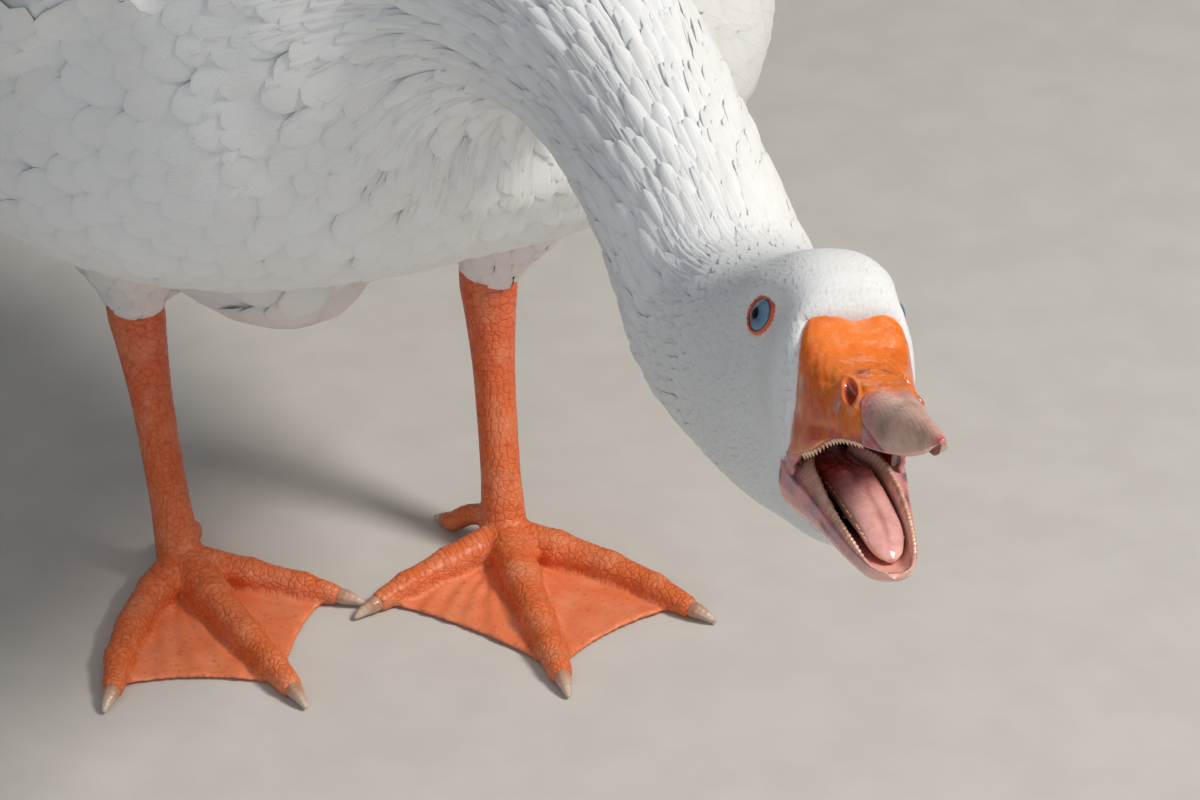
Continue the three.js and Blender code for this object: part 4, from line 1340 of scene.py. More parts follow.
def lid_ring(side):
    """The ring of bare red skin round an eye, finely creased and a little taller than wide."""
    at, _, turn = eye_axes(side)
    run = circle(180)[:, None]
    far, rise = spline(np.array(LID_SECTION), np.linspace(0, len(LID_SECTION) - 1, 44, False)).T
    crease = 0.06 * np.sin(run * 29) + 0.05 * np.sin(run * 17 + 1)
    far = far + crease * (np.abs(far - 5.5) < 0.9) + 0 * run
    rise = rise + 0.7 * crease + 0.10 * np.sin(run * 2)
    points = np.stack([far * np.cos(run) * 0.96, far * np.sin(run) * 1.05, rise], -1) @ turn.T + at
    faces = ring_faces(len(points) + 1, points.shape[1]) % far.size
    name = f"lid_{side_name(side)}"
    thing = new_object(name, mesh_of(name, HEAD.out(points), [faces[:, ::-1]]), finish_of("bill"))
    tone = mix(LID_ORANGE, paint(110, 24, 10), smooth_step(5.1, 4.75, far))
    tone = mix(tone, paint(226, 222, 218), smooth_step(5.95, 6.3, far))
    return coloured(thing, tone, "eye_rims", f"eyelid_{side_name(side)}")


# ---------------------------------------------------------------- legs, webs and claws

TOE_ROWS = ((-0.06, 7, 1), (0.1, 7, 1), (0.4, 5.4, 0.82), (0.7, 4.4, 0.7), (0.94, 3.6, 0.58), (1, 3.2, 0.46))
CLAW_ROWS = ((-2, 3.4, 2.6), (1.5, 3.5, 2.9), (5, 3.0, 2.2), (8, 2.1, 1.4), (10, 1.3, 0.55))
HIND_TOE = ((4, 3, 15, 4), (14, 8, 11, 4), (22, 11.5, 4.4, 3.8), (27, 13, 2.6, 3))
HIND_CLAW = ((25, 12.5, 3.4, 2), (28, 13.4, 2.5, 2.2), (32, 15, 1.4, 0.7))
WEB = {"thick": 1.8, "reach": 0.92, "sag": 0.86, "heel": 6}


def ball_row(at, radius):
    """A loft's row for a round section."""
    return (*at, radius, radius, radius, 2, 2)


class Foot:
    """Where one foot's toes, claws and web lie, in the layout's millimetres."""

    def __init__(self, leg):
        self.leg = leg
        self.root = np.array((*leg["foot"], 0.0))

    def toe_point(self, toe, share):
        side = self.leg["side"]
        spread = self.leg["spread"][1 if toe["turn"] > 0 else 0]
        angle = math.radians(self.leg["heading"] - side * toe["turn"] * spread)
        along = np.array((math.cos(angle), math.sin(angle), 0))
        aside = np.array((along[1], -along[0], 0)) * side * toe["turn"] * toe["bow"]
        return self.root + along * share * toe["length"] + aside * math.sin(math.pi * min(share, 1))

    def balls(self, toe, rows):
        """A form along a toe, from rows of: share of its length, height, radius."""
        return Loft([ball_row(self.toe_point(toe, share) + (0, 0, z), radius) for share, z, radius in rows])

    def toe(self, toe):
        return self.balls(toe, [(share, z, thick * toe["root"]) for share, z, thick in TOE_ROWS])

    def claw(self, toe):
        return self.balls(toe, [(1 + past / toe["length"], z, radius) for past, z, radius in CLAW_ROWS])

    def hind(self, table):
        x, y = self.leg["foot"]
        side = self.leg["side"]
        return Loft([ball_row((x - behind, y - side * inward, z), radius)
                     for behind, inward, z, radius in table])

    def shank(self):
        rise = np.array(self.leg["hock"], float) - self.root
        return upright_rows([(*(self.root + rise * share), wide, deep, deep, 2, 2)
                             for share, wide, deep in SHANK])

    def web(self):
        """The web's edge seen from above: from the heel out to the toes, curving in between them."""
        ends = [self.toe_point(toe, WEB["reach"]) for toe in TOES]
        heel = self.toe_point(TOES[1], -WEB["heel"] / TOES[1]["length"])
        straight, curved = np.linspace(0, 1, 24, False)[:, None], np.linspace(0, 1, 30, False)[:, None]
        edge = [heel + (ends[0] - heel) * straight]
        for start, end in zip(ends, ends[1:]):
            pull = (start + end) / 2 * WEB["sag"] + self.root * (1 - WEB["sag"])
            edge.append(start * (1 - curved) ** 2 + pull * 2 * curved * (1 - curved) + end * curved**2)
        edge.append(ends[2] + (heel - ends[2]) * straight)
        edge = np.concatenate(edge)[:: -self.leg["side"]]
        return np.stack([edge + (0, 0, 0.5), edge + (0, 0, 0.5 + WEB["thick"])])


def nearest_on(loft, points, steps=90):
    """The nearest place on a loft's line, how far along it that is, and the distance over its radius."""
    places = np.linspace(0, loft.last, steps)
    line, girth = spline(loft.centre, places), spline(loft.girth, places)
    run = np.concatenate([[0], np.cumsum(np.linalg.norm(np.diff(line, axis=0), axis=1))])
    gap = np.linalg.norm(points[:, None] - line[None], axis=2)
    nearest = gap.argmin(1)
    return line[nearest], run[nearest], gap[np.arange(len(points)), nearest] / girth[nearest, 0]


LEG_VOXEL = 0.0011
# How far along the outer, middle and inner toe the folds over its joints are.
KNUCKLES = ((25, 47, 67), (31, 57, 77), (29, 49))
LEG_RED, WEB_RED = np.array((0.76, 0.155, 0.035)), np.array((0.80, 0.20, 0.075))
HIGH_RED, SOLE_RED = np.array((0.66, 0.10, 0.035)), np.array((0.52, 0.13, 0.06))


def leg_skin_mesh(leg):
    """One leg from the hock down: shank, toes and web grown into one skin, with its scales and joints."""
    foot, name = Foot(leg), f"leg_{leg['name']}_skin"
    lofts = [foot.shank(), *(foot.toe(toe) for toe in TOES), foot.hind(HIND_TOE)]
    forms = [loft.rings(np.linspace(0, loft.last, 48), circle(32)) for loft in lofts] + [foot.web()]
    mesh = remeshed(name, [LAYOUT.out(form) for form in forms], LEG_VOXEL, 4)
    points, normals = points_of(mesh), normals_of(mesh)
    spots = LAYOUT.into(points)
    line, run, away = (np.stack(found) for found in zip(*(nearest_on(loft, spots) for loft in lofts)))
    owner, pick = away.argmin(0), np.arange(len(points))
    line, run = line[owner, pick], run[owner, pick]
    on_limb = smooth_step(1.5, 1.1, away.min(0))
    gap, on_shank = spots - line, owner == 0
    turn = np.arctan2(gap[:, 1], np.where(on_shank, gap[:, 0], gap[:, 2] + 1e-6))
    hide = np.stack([run, turn * np.where(on_shank, 8.0, 5.0), on_limb], -1)
    plates = np.where(on_shank, normals[:, 0] > 0.2, normals[:, 2] > 0.15) * on_limb
    rise = 0.22 * plates * (np.abs(np.sin(run * math.pi / 3.4)) ** 0.6 - 0.6)
    for toe, stops in enumerate(KNUCKLES, 1):
        for stop in stops:
            rise += (owner == toe) * 0.7 * np.exp(-(((run - stop) / 3.5) ** 2)) * on_limb
    from_foot = spots - foot.root
    far = np.linalg.norm(from_foot[:, :2], axis=1)
    bearing = np.arctan2(from_foot[:, 1], from_foot[:, 0])
    folds = 0.35 * np.sin(bearing * 34 + 2 * np.sin(far / 14))
    folds += 0.25 * np.sin(far / 3.1 + 3 * np.sin(bearing * 9))
    rise += folds * (1 - on_limb) * (spots[:, 2] > 1.2)
    points = points + normals * (rise * MM)[:, None]
    points[:, 2] = np.maximum(points[:, 2], 0.0001)
    move_points(mesh, points)
    thing = new_object(name, mesh, finish_of("legs"))
    mark(mesh, "hide", hide)
    high, under = 0.5 * smooth_step(30, 95, spots[:, 2]), 0.4 * smooth_step(0, -0.5, normals[:, 2])
    tone = layered(WEB_RED, (LEG_RED, on_limb), (HIGH_RED, high), (SOLE_RED, under))
    return coloured(thing, tone, "legs", f"shank_{leg['name']}", f"foot_{leg['name']}")


def claws(leg):
    """Blunt pale horn claws, curved down, each with the fold of skin round its root."""
    foot, angles = Foot(leg), circle(40)
    lofts = {toe["name"]: foot.claw(toe) for toe in TOES}
    lofts["hind"] = foot.hind(HIND_CLAW)
    for name, loft in lofts.items():
        places = np.linspace(0.02, loft.last - 0.01, 40)
        rings = loft.rings(places, angles)
        rings[..., 2] = np.maximum(rings[..., 2], 0.15)
        grooves = 0.05 * np.sin(angles * 9)[None] + 0.06 * np.sin(places * 11)[:, None]
        rings = rings + out_of(rings) * grooves[..., None]
        thing = form_of(f"claw_{leg['name']}_{name}_horn", LAYOUT.out(rings), finish_of("horn"))
        share = np.broadcast_to((places / loft.last)[:, None], rings.shape[:2])
        tone = mix(np.array((0.52, 0.27, 0.17)), np.array((0.62, 0.48, 0.38)), smooth_step(0.2, 0.8, share))
        coloured(thing, tone, "claws", f"claw_{leg['name']}_{name}")


# ---------------------------------------------------------------- the coat


@functools.cache
def coat_surface():
    """The coat's outer face, as a surface to lay feathers on. Made once."""
    mesh = goose_form("coat_face", -0.6)
    move_points(mesh, sculpt_head(points_of(mesh), normals_of(mesh)))
    return Surface(mesh)


def skin():
    """The goose's skin: one closed mesh inside the coat, hollowed at the mouth."""
    mesh = goose_form("skin", -0.9)
    points, normals = points_of(mesh), normals_of(mesh)
    head = HEAD.into(points)
    run, _, up = LAYOUT.into(points).T
    over = up - np.interp(run, *np.transpose(WING_LOW))
    # It lies deeper under longer feathers, deepest under the wings' quills, and shallow in the thin tail.
    depth = 1.9 * smooth_step(-90, -160, head[:, 0]) + 0.9 * smooth_step(-30, -70, head[:, 0])
    depth += 3.6 * smooth_step(45, 20, run) * smooth_step(2, 14, over) * smooth_step(-345, -318, run)
    depth = np.minimum(depth, np.interp(run, (-346, -338, -294, -250), (0.4, 1.0, 3.2, 9.0)))
    points = sculpt_head(points - normals * (depth * MM)[:, None], normals)
    spots = LAYOUT.into(points)
    # The tips of the tail and wings are feathers alone, so it ends short of them.
    spots[:, 1] -= (spots[:, 1] - MIDLINE) * 0.2 * smooth_step(-240, -290, run) * (up > 330)
    spots[:, 0] += (0.45 + 0.4 * smooth_step(2, 8, over)) * np.maximum(-252 - run, 0)
    head = HEAD.into(LAYOUT.out(spots))
    head[:, 0] -= 1.0 * smooth_step(0.0, 1.5, head[:, 0] - face_edge(head[:, 2]))
    cave = cave_depth(head[:, 1], head[:, 2]) - 3
    in_mouth = (head[:, 0] > -12) & (head[:, 0] > cave)
    head[:, 0] = np.where(in_mouth, cave, head[:, 0])
    move_points(mesh, HEAD.out(head))
    thing = new_object("skin", mesh, finish_of("down"))
    flesh = ("trunk", "neck", "head", "tail", "wing_left", "wing_right", "thigh_left", "thigh_right")
    return finished(thing, "plumage", *flesh)


def under_wing(points):
    """True where a folded wing covers the body."""
    spots = LAYOUT.into(points)
    low = np.interp(spots[:, 0], *np.transpose(WING_LOW))
    inside = (spots[:, 0] > -312) & (spots[:, 0] < 150) & (np.abs(spots[:, 1] - MIDLINE) > 3)
    return inside & (spots[:, 2] > low + 4)


def near_eye(points, reach):
    """True for points nearer than reach millimetres to the middle of either eye."""
    head = HEAD.into(points)
    gaps = [np.linalg.norm(head - eye_axes(side)[0], axis=-1) for side in (1, -1)]
    return np.minimum(*gaps) < reach


# How far along a feather its stations are: for the head's tufts, the body's feathers, and the long quills.
HEAD_SHARES = np.array((0, 0.35, 0.7, 1))
BODY_SHARES = np.array((0, 0.3, 0.55, 0.78, 0.92, 1))
LONG_SHARES = np.array((0, 0.15, 0.3, 0.45, 0.6, 0.73, 0.84, 0.92, 0.97, 1))


def edge_roots():
    """Points along the line where the face's feathers meet the bill, every 0.8 mm in three rows."""
    spots = []
    for back in (-0.7, 0.3, 1.2):
        for side in (1, -1):
            up = np.arange(-52, 0.5, 0.8) + 0.27 * (back + 1)
            spots.append(np.stack([face_edge(up) - back, np.full(len(up), side * 26.0), up], -1))
        aside = np.arange(-15.5, 15.6, 0.8) + 0.27 * (back + 1)
        spots.append(np.stack([20.8 - back - 0.02 * aside**2, aside, 9 - 0.03 * aside**2], -1))
    return HEAD.out(np.concatenate(spots))


def column(values):
    """Numbers for whole feathers, ready to meet numbers for their stations."""
    return np.asarray(values)[:, None]


def head_coat(coat, rng):
    """Short tufts over the face, crown, cheeks and throat, growing longer towards the neck."""
    surface = coat_surface()

    def spacing(points):
        run = HEAD.into(points)[:, 0]
        back = smooth_step(-10, -85, run)
        face = coat.face_spacing * (1 - 0.25 * smooth_step(2, 12, run))
        return face * (1 - back) + coat.nape_spacing * back

    def keep(points):
        run, aside, up = HEAD.into(points).T
        bill = (run > face_edge(up) - 0.4) & (up < -2)
        mouth = (cave_depth(aside, up) < 90) & (run > 5)
        bare = bill | mouth | near_eye(points, 5.6)
        return (run > -84) & (up < 60) & (place_of(points) > 12) & ~bare

    roots, gap = surface.scatter(rng, spacing, keep)
    edge = edge_roots()
    roots = np.concatenate([roots, edge])
    gap = np.concatenate([gap, np.full(len(edge), coat.face_spacing * 0.9)])
    lengths = gap * 2.9 * rng.uniform(0.85, 1.2, len(gap))
    path, normals = surface.lay(roots, lengths, HEAD_SHARES, body_flow)
    clear = ~near_eye(path, 6.05).reshape(len(path), -1).any(1)
    path, normals, gap = path[clear], normals[clear], gap[clear]
    run = HEAD.into(path[:, 0])[:, 0]
    broad = column(gap * (0.72 + 0.3 * smooth_step(-2, 10, run)))
    width = broad * blade_width(HEAD_SHARES, 0.75, 0.4) * rng.uniform(0.85, 1.15, (len(gap), 1))
    height = lying(HEAD_SHARES, 0.38, 3.0) * column(gap) + rng.uniform(-0.03, 0.04, (len(gap), 1)) * MM
    for name, part in (("coat_face", run > -28), ("coat_nape", run <= -28)):
        tables = (table[part] for table in (path, normals, width, height))
        vanes(name, rng, *tables, HEAD_SHARES, 0.06, 0.12, soft=0.75)


def lock_angle(place, row, chance, rows):
    """The angle round the neck of a lock in one of its wavy rows."""
    wave = 0.20 * np.sin(place * 3.1 + row * 1.7) + 0.12 * np.sin(place * 6.3 + row)
    return (row + wave + chance) * 2 * math.pi / rows


def neck_coat(coat, rng):
    """Locks in wavy rows along the neck, with furrows between them, deepest on its upper side."""
    surface, shares, rows = coat_surface(), BODY_SHARES, coat.neck_rows
    lines = []
    for row in range(rows):
        places = np.arange(7.0, 13.25, 0.19)
        places = places + 0.19 * (0.5 * (row % 2)) + rng.uniform(-0.07, 0.07, len(places))
        chance = rng.uniform(-0.16, 0.16, len(places))
        lines.append(np.stack([places, lock_angle(places, row, chance, rows)]))
    place, angle = np.concatenate(lines, 1)
    fade = smooth_step(6.9, 8.6, place) * smooth_step(13.3, 12.4, place)
    high = 0.55 + 0.45 * np.cos(angle)
    pitch = 2 * math.pi * spline(BODY.loft.girth, place).mean(-1) / rows * MM
    lengths = coat.neck_length * rng.uniform(0.85, 1.15, len(place)) * (1 + 0.3 * smooth_step(8.6, 7, place))
    path, normals = surface.lay(BODY.point(place, angle), lengths, shares, body_flow)
    width = column(pitch * rng.uniform(0.58, 0.82, len(place))) * blade_width(shares, 0.6, 0.55)
    proud = (0.35 + 0.65 * high) * fade * coat.neck_relief
    lump = rng.uniform(-0.35, 1.1, len(place)) * proud
    height = lying(shares, 2.6 * MM, 2.0) + column(lump * 0.8) * np.sin(shares * math.pi * 0.8)
    vanes("coat_neck", rng, path, normals, width, height, shares, 0.7, 0.62, flat=5, soft=0.35)
    neck_strands(coat, rng)


def neck_strands(coat, rng):
    """Fine loose strands lying along the neck's locks, which break up their edges."""
    count, shares = coat.neck_strands, BODY_SHARES
    place = rng.uniform(7.6, 13.2, count)
    row = rng.integers(0, coat.neck_rows, count)
    angle = lock_angle(place, row, rng.uniform(-0.42, 0.42, count), coat.neck_rows)
    lengths = coat.neck_length * rng.uniform(0.6, 1.1, count)
    path, normals = coat_surface().lay(BODY.point(place, angle), lengths, shares, body_flow)
    high = 0.5 + 0.5 * np.cos(angle)
    width = 1.0 * MM * blade_width(shares, 0.5, 0.4) * rng.uniform(0.6, 1.4, (count, 1))
    rise = (0.55 * high * rng.random(count) * coat.neck_relief / MM - 0.1) * MM
    height = lying(shares, 2.0 * MM, 2.0) + column(rise) * np.sin(shares * math.pi * 0.85)
    vanes("coat_neck_strands", rng, path, normals, width, height, shares, 0.8, 0.9, soft=0.5)


def body_coat(coat, rng):
    """Rounded contour feathers over the breast, flanks, belly and rump, tight and smooth."""
    surface, shares = coat_surface(), BODY_SHARES

    def spacing(points):
        back = smooth_step(8, 5, place_of(points))
        return coat.breast_spacing + (coat.body_spacing - coat.breast_spacing) * back

    def keep(points):
        run, aside, up = LAYOUT.into(points).T
        on_tail = (run < -236) & (up > 334)
        between_wings = (run < -120) & (np.abs(aside - MIDLINE) < 6) & (up > 340)
        covered = under_wing(points) | on_tail | between_wings
        return (place_of(points) < 8.1) & (thigh_share(points) < 0.6) & ~covered

    roots, gap = surface.scatter(rng, spacing, keep)
    lengths = gap * 3.0 * rng.uniform(0.85, 1.15, len(gap))
    halves = np.array_split(np.argsort(roots[:, 0]), 2)
    for name, part in zip(("coat_rear", "coat_breast"), halves):
        path, normals = surface.lay(roots[part], lengths[part], shares, body_flow)
        near = column(gap[part])
        width = near * 0.92 * blade_width(shares, 0.75, 0.5) * rng.uniform(0.9, 1.1, (len(part), 1))
        height = lying(shares, 0.36, 3.0) * near + rng.uniform(-0.06, 0.06, (len(part), 1)) * MM
        vanes(name, rng, path, normals, width, height, shares, 0.3, 0.17, flat=5, soft=0.7)


def thigh_coat(coat, rng):
    """Small soft feathers down the thighs, ending in a ragged cuff above each leg."""
    surface, shares = coat_surface(), BODY_SHARES
    roots, gap = surface.scatter(rng, lambda points: np.full(len(points), coat.thigh_spacing),
                                 lambda points: thigh_share(points) > 0.35)
    lengths = gap * 2.8 * rng.uniform(0.8, 1.25, len(gap))
    path, normals = surface.lay(roots, lengths, shares, body_flow)
    width = column(gap) * 0.75 * blade_width(shares, 0.6, 0.5)
    height = lying(shares, 0.42) * column(gap) + rng.uniform(-0.2, 0.4, (len(gap), 1)) * MM
    vanes("coat_thighs", rng, path, normals, width, height, shares, 0.1, 0.15)


# Each row of wing feathers: how many, where their roots start and end along and down the wing, length,
# half width, and how deep they lie. All lengths in millimetres. A place less than 0 down the wing is on its
# flat top, -1 being the edge near the other wing.
WING_ROWS = (
    (13, (-134, -92), (0.94, 0.06), 208, 12.5, 2.6),
    (6, (-90, -78), (-0.05, -0.95), 222, 12, 2.4),
    (15, (-46, -78), (1.0, 0.36), 132, 12, 2.2),
    (7, (-40, -14), (0.30, 0.05), 182, 18, 1.5),
    (5, (-12, 4), (-0.1, -0.9), 176, 14, 1.2),
    (18, (6, -20), (1.0, 0.16), 62, 10.5, 1.4),
    (20, (34, 12), (1.0, 0.12), 48, 9, 0.9),
    (22, (58, 40), (1.0, 0.10), 38, 8, 0.6),
)


def wing_flow(side):
    """Folded wing feathers all point at a place behind the wing's tip."""
    target = LAYOUT.out((-440, MIDLINE + side * 22, 352))
    return lambda points: unit(target - points)


def wing_quills(rng, side):
    """One folded wing's long feathers: primaries, secondaries, tertials, then its large coverts."""
    wing, surface, shares = Wing(side), coat_surface(), LONG_SHARES
    places = np.linspace(0, 8, 200)
    forward = spline(wing.loft.centre, places)[:, 0]
    rows = []
    for count, (x0, x1), (b0, b1), length, half, deep in WING_ROWS:
        t = np.linspace(0, 1, count)
        run = x0 + (x1 - x0) * t + rng.uniform(-2, 2, count)
        down = b0 + (b1 - b0) * t
        spots = LAYOUT.into(wing.point(np.interp(run, forward, places), np.maximum(down, 0)))
        spots[:, 1] += (MIDLINE + side * (WING_APART + 2) - spots[:, 1]) * np.maximum(-down, 0)
        wanted = length * rng.uniform(0.94, 1.06, count)
        # Over the wing's tip, which the surface doesn't reach, a feather goes on straight.
        reach = np.minimum(wanted, run + 292)
        path, normals = surface.lay(LAYOUT.out(spots), reach * MM, shares, wing_flow(side))
        extra = np.clip(wanted - reach, 0, 24)[:, None, None] * column(smooth_step(0.5, 1, shares)) * MM
        path = path + unit(path[:, -1:] - path[:, -4:-3]) * extra
        width = half * MM * blade_width(shares, 0.55, 0.5) * rng.uniform(0.92, 1.08, (count, 1))
        height = lying(shares, 3 * MM, 2.2) - deep * MM - 0.25 * MM * column(t)
        rows.append((path, normals, width, height))
    path, normals, width, height = (np.concatenate(table) for table in zip(*rows))
    name = f"coat_wing_{side_name(side)}_quills"
    vanes(name, rng, path, normals, width, height, shares, 0.4, 0.08, flat=5, soft=0.1, tilt=-side * 0.12)


def wing_coverts(coat, rng, side):
    """The small rounded feathers over the front of one folded wing."""
    surface, shares = coat_surface(), BODY_SHARES

    def keep(points):
        run, aside, up = LAYOUT.into(points).T
        ahead = run > 22 - 60 * smooth_step(400, 430, up)
        return under_wing(points) & ((aside - MIDLINE) * side > 2) & ahead

    def spacing(points):
        run = LAYOUT.into(points)[:, 0]
        return coat.covert_spacing * (0.72 + 0.45 * smooth_step(150, 20, run))

    roots, gap = surface.scatter(rng, spacing, keep)
    path, normals = surface.lay(roots, gap * 2.7, shares, wing_flow(side))
    width = column(gap) * 0.82 * blade_width(shares, 0.65, 0.55)
    height = lying(shares, 0.25) * column(gap) + rng.uniform(0, 0.3, (len(gap), 1)) * MM
    name = f"coat_wing_{side_name(side)}_coverts"
    vanes(name, rng, path, normals, width, height, shares, 0.15, 0.08, flat=5)


# Each row of tail feathers: how many, where they start and end along the goose, half width and height.
TAIL_ROWS = ((16, -232, -346, 11.5, 0.0), (13, -216, -290, 10, 2.4), (12, -200, -262, 9, 4.4),
             (12, -222, -284, 10, -2.6))


def tail_coat(rng):
    """Sixteen broad tail feathers in a shallow fan, the middle pair on top, with coverts over their roots."""
    shares, rows = LONG_SHARES, []
    for count, begin, end, half, lift in TAIL_ROWS:
        over = 1 if lift >= 0 else -1
        for spread in np.linspace(-1, 1, count):
            side = abs(spread)
            tip = np.array((end + 14 * side**2, MIDLINE + 43 * spread, 355.5 - 3.5 * side))
            root = np.array((begin, MIDLINE + 35 * spread, (351 if over > 0 else 330) - 4 * side))
            reach = (begin - end) / (begin + 346)
            bend = np.array((0, 8 * spread, 2.5)) * (begin - end) / 114
            line = root + (tip - root) * reach * column(shares) + bend * column(np.sin(shares * math.pi))
            line[:, 2] += lift * (1 - 0.45 * shares) - 2.0 * side * abs(lift) / 4
            width = half * MM * blade_width(shares, 0.6, 0.65) * rng.uniform(0.93, 1.07)
            up = unit(np.array((0.05, 0.22 * spread, 1.0)) * over) + np.zeros_like(line)
            tilt = -0.08 * np.sign(spread) * over
            rows.append((LAYOUT.out(line), up, width, np.full(len(shares), -0.5 * side * MM), tilt))
    path, normals, width, height, tilt = (np.array(table) for table in zip(*rows))
    vanes("coat_tail", rng, path, normals, width, height, shares, 0.5, 0.08, flat=5, soft=0.2, tilt=tilt)


# ---------------------------------------------------------------- stage, light and camera

CAMERA_AT = (1451.33, -541.55, 995.48)
CAMERA_AIM = (12.1, 99.2, 48.8)
# The floor is flat as far as this and then curves up into the wall, in metres.
FLOOR_FLAT = 7.4
FLOOR_CURVE = 1.6
WALL_TOP = 9.0
LAMPS_AIM = (250, 0, 280)
# Each lamp: its name, the way to it from the goose's middle, how far off it is in metres, and its colour.
LAMPS = (("key", (0.42, 0.52, 0.74), 2.6, (1.0, 0.96, 0.90)),
         ("fill", (0.75, -0.8, 0.35), 2.8, (0.80, 0.89, 1.0)),
         ("front", (0.9, -0.25, 0.42), 2.6, (1.0, 0.93, 0.86)))


def floor():
    """A pale plaster floor that curves up into a wall far behind the goose."""
    turn = np.linspace(0.15, 1.57, 14)
    bend = FLOOR_FLAT + FLOOR_CURVE * np.sin(turn)
    bend = np.concatenate([np.linspace(0, FLOOR_FLAT, 8), bend, [FLOOR_FLAT + FLOOR_CURVE]])
    rise = np.concatenate([np.zeros(8), FLOOR_CURVE - FLOOR_CURVE * np.cos(turn), [WALL_TOP]])
    angle = circle(96)
    points = np.stack([column(bend) * np.cos(angle), column(bend) * np.sin(angle),
                       column(rise) + 0 * angle], -1)
    points[..., 2] -= 0.2 * MM
    faces = ring_faces(len(bend), len(angle))[:, ::-1]
    new_object("floor", mesh_of("floor", points, [faces]), finish_of("floor"))


def placed(name, data, at, aim):
    """A lamp or a camera that stands at one point and faces another."""
    thing = bpy.data.objects.new(name, data)
    thing.location = at
    thing.rotation_euler = (Vector(aim) - Vector(at)).to_track_quat("-Z", "Y").to_euler()
    bpy.context.scene.collection.objects.link(thing)
    return thing


def lights(stage):
    """Three round soft lamps, and a dim even light from all round."""
    middle = Vector(LAYOUT.out(LAMPS_AIM))
    sizes = (stage.key_size, 2.2, 1.6)
    powers = (stage.key_power, stage.fill_power, stage.fill_power * 0.35)
    for (name, way, far, tint), size, power_watts in zip(LAMPS, sizes, powers):
        lamp = bpy.data.lights.new(name, "AREA")
        lamp.shape = "DISK"
        lamp.size = size
        lamp.energy = power_watts
        lamp.color = tint
        placed(name, lamp, middle + Vector(way).normalized() * far, middle)
    world = bpy.data.worlds.new("Soft room")
    world.use_nodes = True
    sky = world.node_tree.nodes["Background"]
    sky.inputs["Color"].default_value = (0.72, 0.80, 0.92, 1)
    sky.inputs["Strength"].default_value = stage.room_light
    bpy.context.scene.world = world
    bpy.context.scene.view_settings.view_transform = "Standard"


def camera(stage):
    """A long lens that looks a little down at the goose from its front and right."""
    lens = bpy.data.cameras.new("camera")
    lens.lens = stage.lens
    lens.sensor_width = 36
    view = placed("camera", lens, LAYOUT.out(CAMERA_AT), LAYOUT.out(CAMERA_AIM))
    bpy.context.scene.camera = view


# ---------------------------------------------------------------- settings, operators and panel


class GooseCoat(PropertyGroup):
    """Sizes of the feathers."""

    face_spacing: FloatProperty(name="Face tufts apart", description="Between tufts on the face",
                                default=0.00155, unit="LENGTH", subtype="DISTANCE")
    nape_spacing: FloatProperty(name="Nape tufts apart", description="Between tufts where the neck begins",
                                default=0.0042, unit="LENGTH", subtype="DISTANCE")
    neck_rows: IntProperty(name="Neck rows", description="Rows of locks round the neck", default=38)
    neck_length: FloatProperty(name="Neck locks", description="Length of a lock on the neck", default=0.021,
                               unit="LENGTH", subtype="DISTANCE")
    neck_relief: FloatProperty(name="Neck relief", description="How far the highest locks stand out",
                               default=0.0017, unit="LENGTH", subtype="DISTANCE")
    neck_strands: IntProperty(name="Neck strands", description="Loose strands along the neck's locks",
                              default=3000)
    breast_spacing: FloatProperty(name="Breast feathers apart", description="Between feathers on the breast",
                                  default=0.0072, unit="LENGTH", subtype="DISTANCE")
    body_spacing: FloatProperty(name="Body feathers apart",
                                description="Between feathers on the flanks and belly", default=0.0096,
                                unit="LENGTH", subtype="DISTANCE")
    thigh_spacing: FloatProperty(name="Thigh feathers apart", description="Between feathers on the thighs",
                                 default=0.0062, unit="LENGTH", subtype="DISTANCE")
    covert_spacing: FloatProperty(name="Coverts apart", description="Between the wings' small feathers",
                                  default=0.0115, unit="LENGTH", subtype="DISTANCE")
    seed: IntProperty(name="Seed", description="Fixes every feather's chance differences", default=7)


class GooseStage(PropertyGroup):
    """The light and the camera."""

    key_power: FloatProperty(name="Key light", description="Power of the high light", default=62.0,
                             unit="POWER")
    key_size: FloatProperty(name="Key size", description="Width of the high light", default=0.8,
                            unit="LENGTH", subtype="DISTANCE")
    fill_power: FloatProperty(name="Fill light", description="Power of the wide cool light", default=14.0,
                              unit="POWER")
    room_light: FloatProperty(name="Room light", description="Strength of the light from all round",
                              default=0.38)
    lens: FloatProperty(name="Lens", description="Focal length in millimetres", default=150.0)


def chance_for(context, part):
    """A random stream of its own for each part, the same in every run."""
    return np.random.default_rng(context.scene.goose_coat.seed * 100 + part)


class GOOSE_OT_stage(Operator):
    """Add the floor, the lights and the camera"""

    bl_idname = "goose.stage"
    bl_label = "Stage"

    def execute(self, context):
        floor()
        lights(context.scene.goose_stage)
        camera(context.scene.goose_stage)
        return {"FINISHED"}


class GOOSE_OT_skin(Operator):
    """Add the skin under the feathers"""

    bl_idname = "goose.skin"
    bl_label = "Skin"

    def execute(self, context):
        skin()
        return {"FINISHED"}


class GOOSE_OT_bill(Operator):
    """Add the bill, the tongue, the mouth's lining and its spines"""

    bl_idname = "goose.bill"
    bl_label = "Bill and mouth"

    def execute(self, context):
        upper_bill()
        lower_bill()
        gape()
        tongue()
        throat()
        mouth_spikes(chance_for(context, 1))
        return {"FINISHED"}


class GOOSE_OT_eyes(Operator):
    """Add both eyes and the bare skin round them"""

    bl_idname = "goose.eyes"
    bl_label = "Eyes"

    def execute(self, context):
        for side in (1, -1):
            eyeball(side)
            lid_ring(side)
        return {"FINISHED"}


class GOOSE_OT_legs(Operator):
    """Add both legs with their webs and claws"""

    bl_idname = "goose.legs"
    bl_label = "Legs"

    def execute(self, context):
        for leg in LEGS:
            leg_skin_mesh(leg)
            claws(leg)
        return {"FINISHED"}


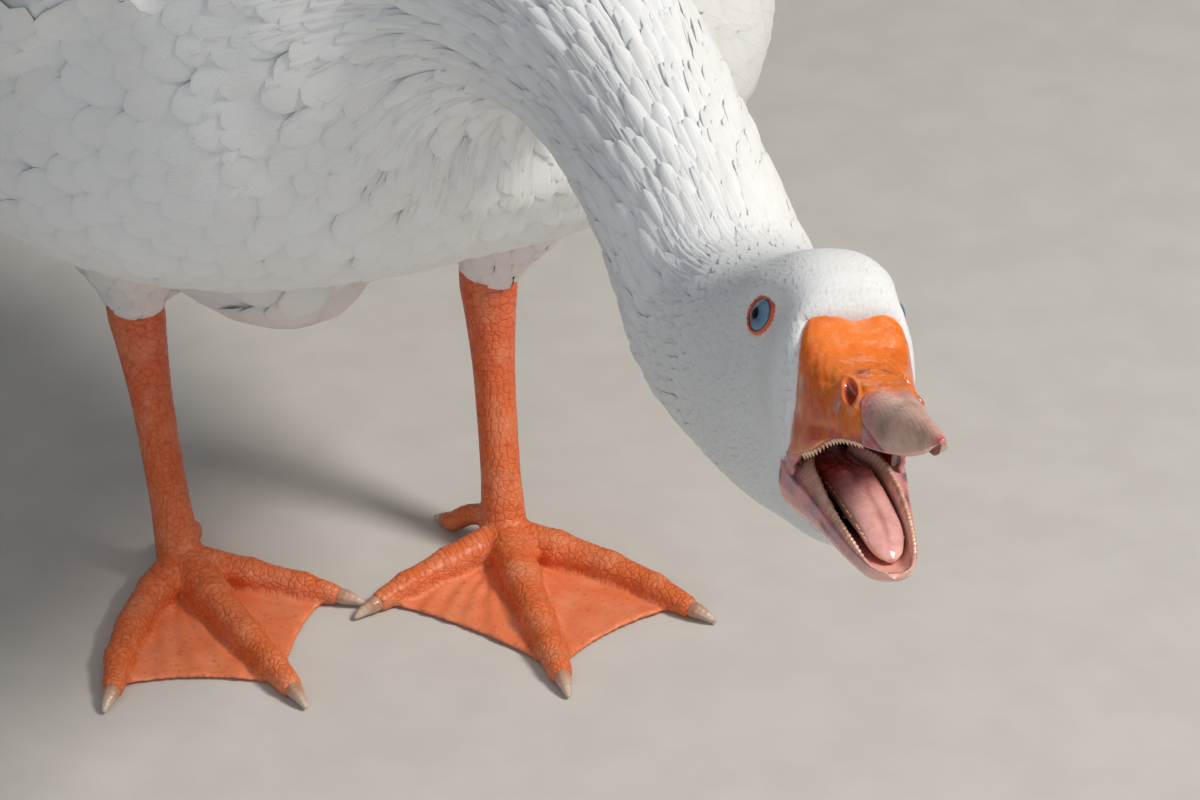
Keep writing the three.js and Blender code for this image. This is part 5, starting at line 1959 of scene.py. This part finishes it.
class GOOSE_OT_head_coat(Operator):
    """Add the short feathers of the head"""

    bl_idname = "goose.head_coat"
    bl_label = "Head feathers"

    def execute(self, context):
        head_coat(context.scene.goose_coat, chance_for(context, 2))
        return {"FINISHED"}


class GOOSE_OT_neck_coat(Operator):
    """Add the furrowed feathers of the neck"""

    bl_idname = "goose.neck_coat"
    bl_label = "Neck feathers"

    def execute(self, context):
        neck_coat(context.scene.goose_coat, chance_for(context, 3))
        return {"FINISHED"}


class GOOSE_OT_body_coat(Operator):
    """Add the feathers of the breast, flanks, belly and thighs"""

    bl_idname = "goose.body_coat"
    bl_label = "Body feathers"

    def execute(self, context):
        body_coat(context.scene.goose_coat, chance_for(context, 4))
        thigh_coat(context.scene.goose_coat, chance_for(context, 5))
        return {"FINISHED"}


class GOOSE_OT_wings(Operator):
    """Add the feathers of both wings and the tail"""

    bl_idname = "goose.wings"
    bl_label = "Wings and tail"

    def execute(self, context):
        for part, side in ((6, 1), (7, -1)):
            rng = chance_for(context, part)
            wing_quills(rng, side)
            wing_coverts(context.scene.goose_coat, rng, side)
        tail_coat(chance_for(context, 8))
        return {"FINISHED"}


PIECES = (GOOSE_OT_stage, GOOSE_OT_skin, GOOSE_OT_bill, GOOSE_OT_eyes, GOOSE_OT_legs, GOOSE_OT_head_coat,
          GOOSE_OT_neck_coat, GOOSE_OT_body_coat, GOOSE_OT_wings)


class GOOSE_PT_panel(Panel):
    """Lists the goose's parts"""

    bl_idname = "GOOSE_PT_panel"
    bl_label = "Farmyard Goose"
    bl_space_type = "VIEW_3D"
    bl_region_type = "UI"
    bl_category = "Goose"

    def draw(self, context):
        for piece in PIECES:
            self.layout.operator(piece.bl_idname)


CLASSES = (GooseCoat, GooseStage, *PIECES, GOOSE_PT_panel)


def register():
    for kind in CLASSES:
        bpy.utils.register_class(kind)
    bpy.types.Scene.goose_coat = PointerProperty(type=GooseCoat)
    bpy.types.Scene.goose_stage = PointerProperty(type=GooseStage)


def unregister():
    del bpy.types.Scene.goose_coat
    del bpy.types.Scene.goose_stage
    for kind in reversed(CLASSES):
        bpy.utils.unregister_class(kind)


def main():
    register()
    bpy.ops.goose.stage()
    bpy.ops.goose.skin()
    bpy.ops.goose.bill()
    bpy.ops.goose.eyes()
    bpy.ops.goose.legs()
    bpy.ops.goose.head_coat()
    bpy.ops.goose.neck_coat()
    bpy.ops.goose.body_coat()
    bpy.ops.goose.wings()


if __name__ == "__main__":
    main()
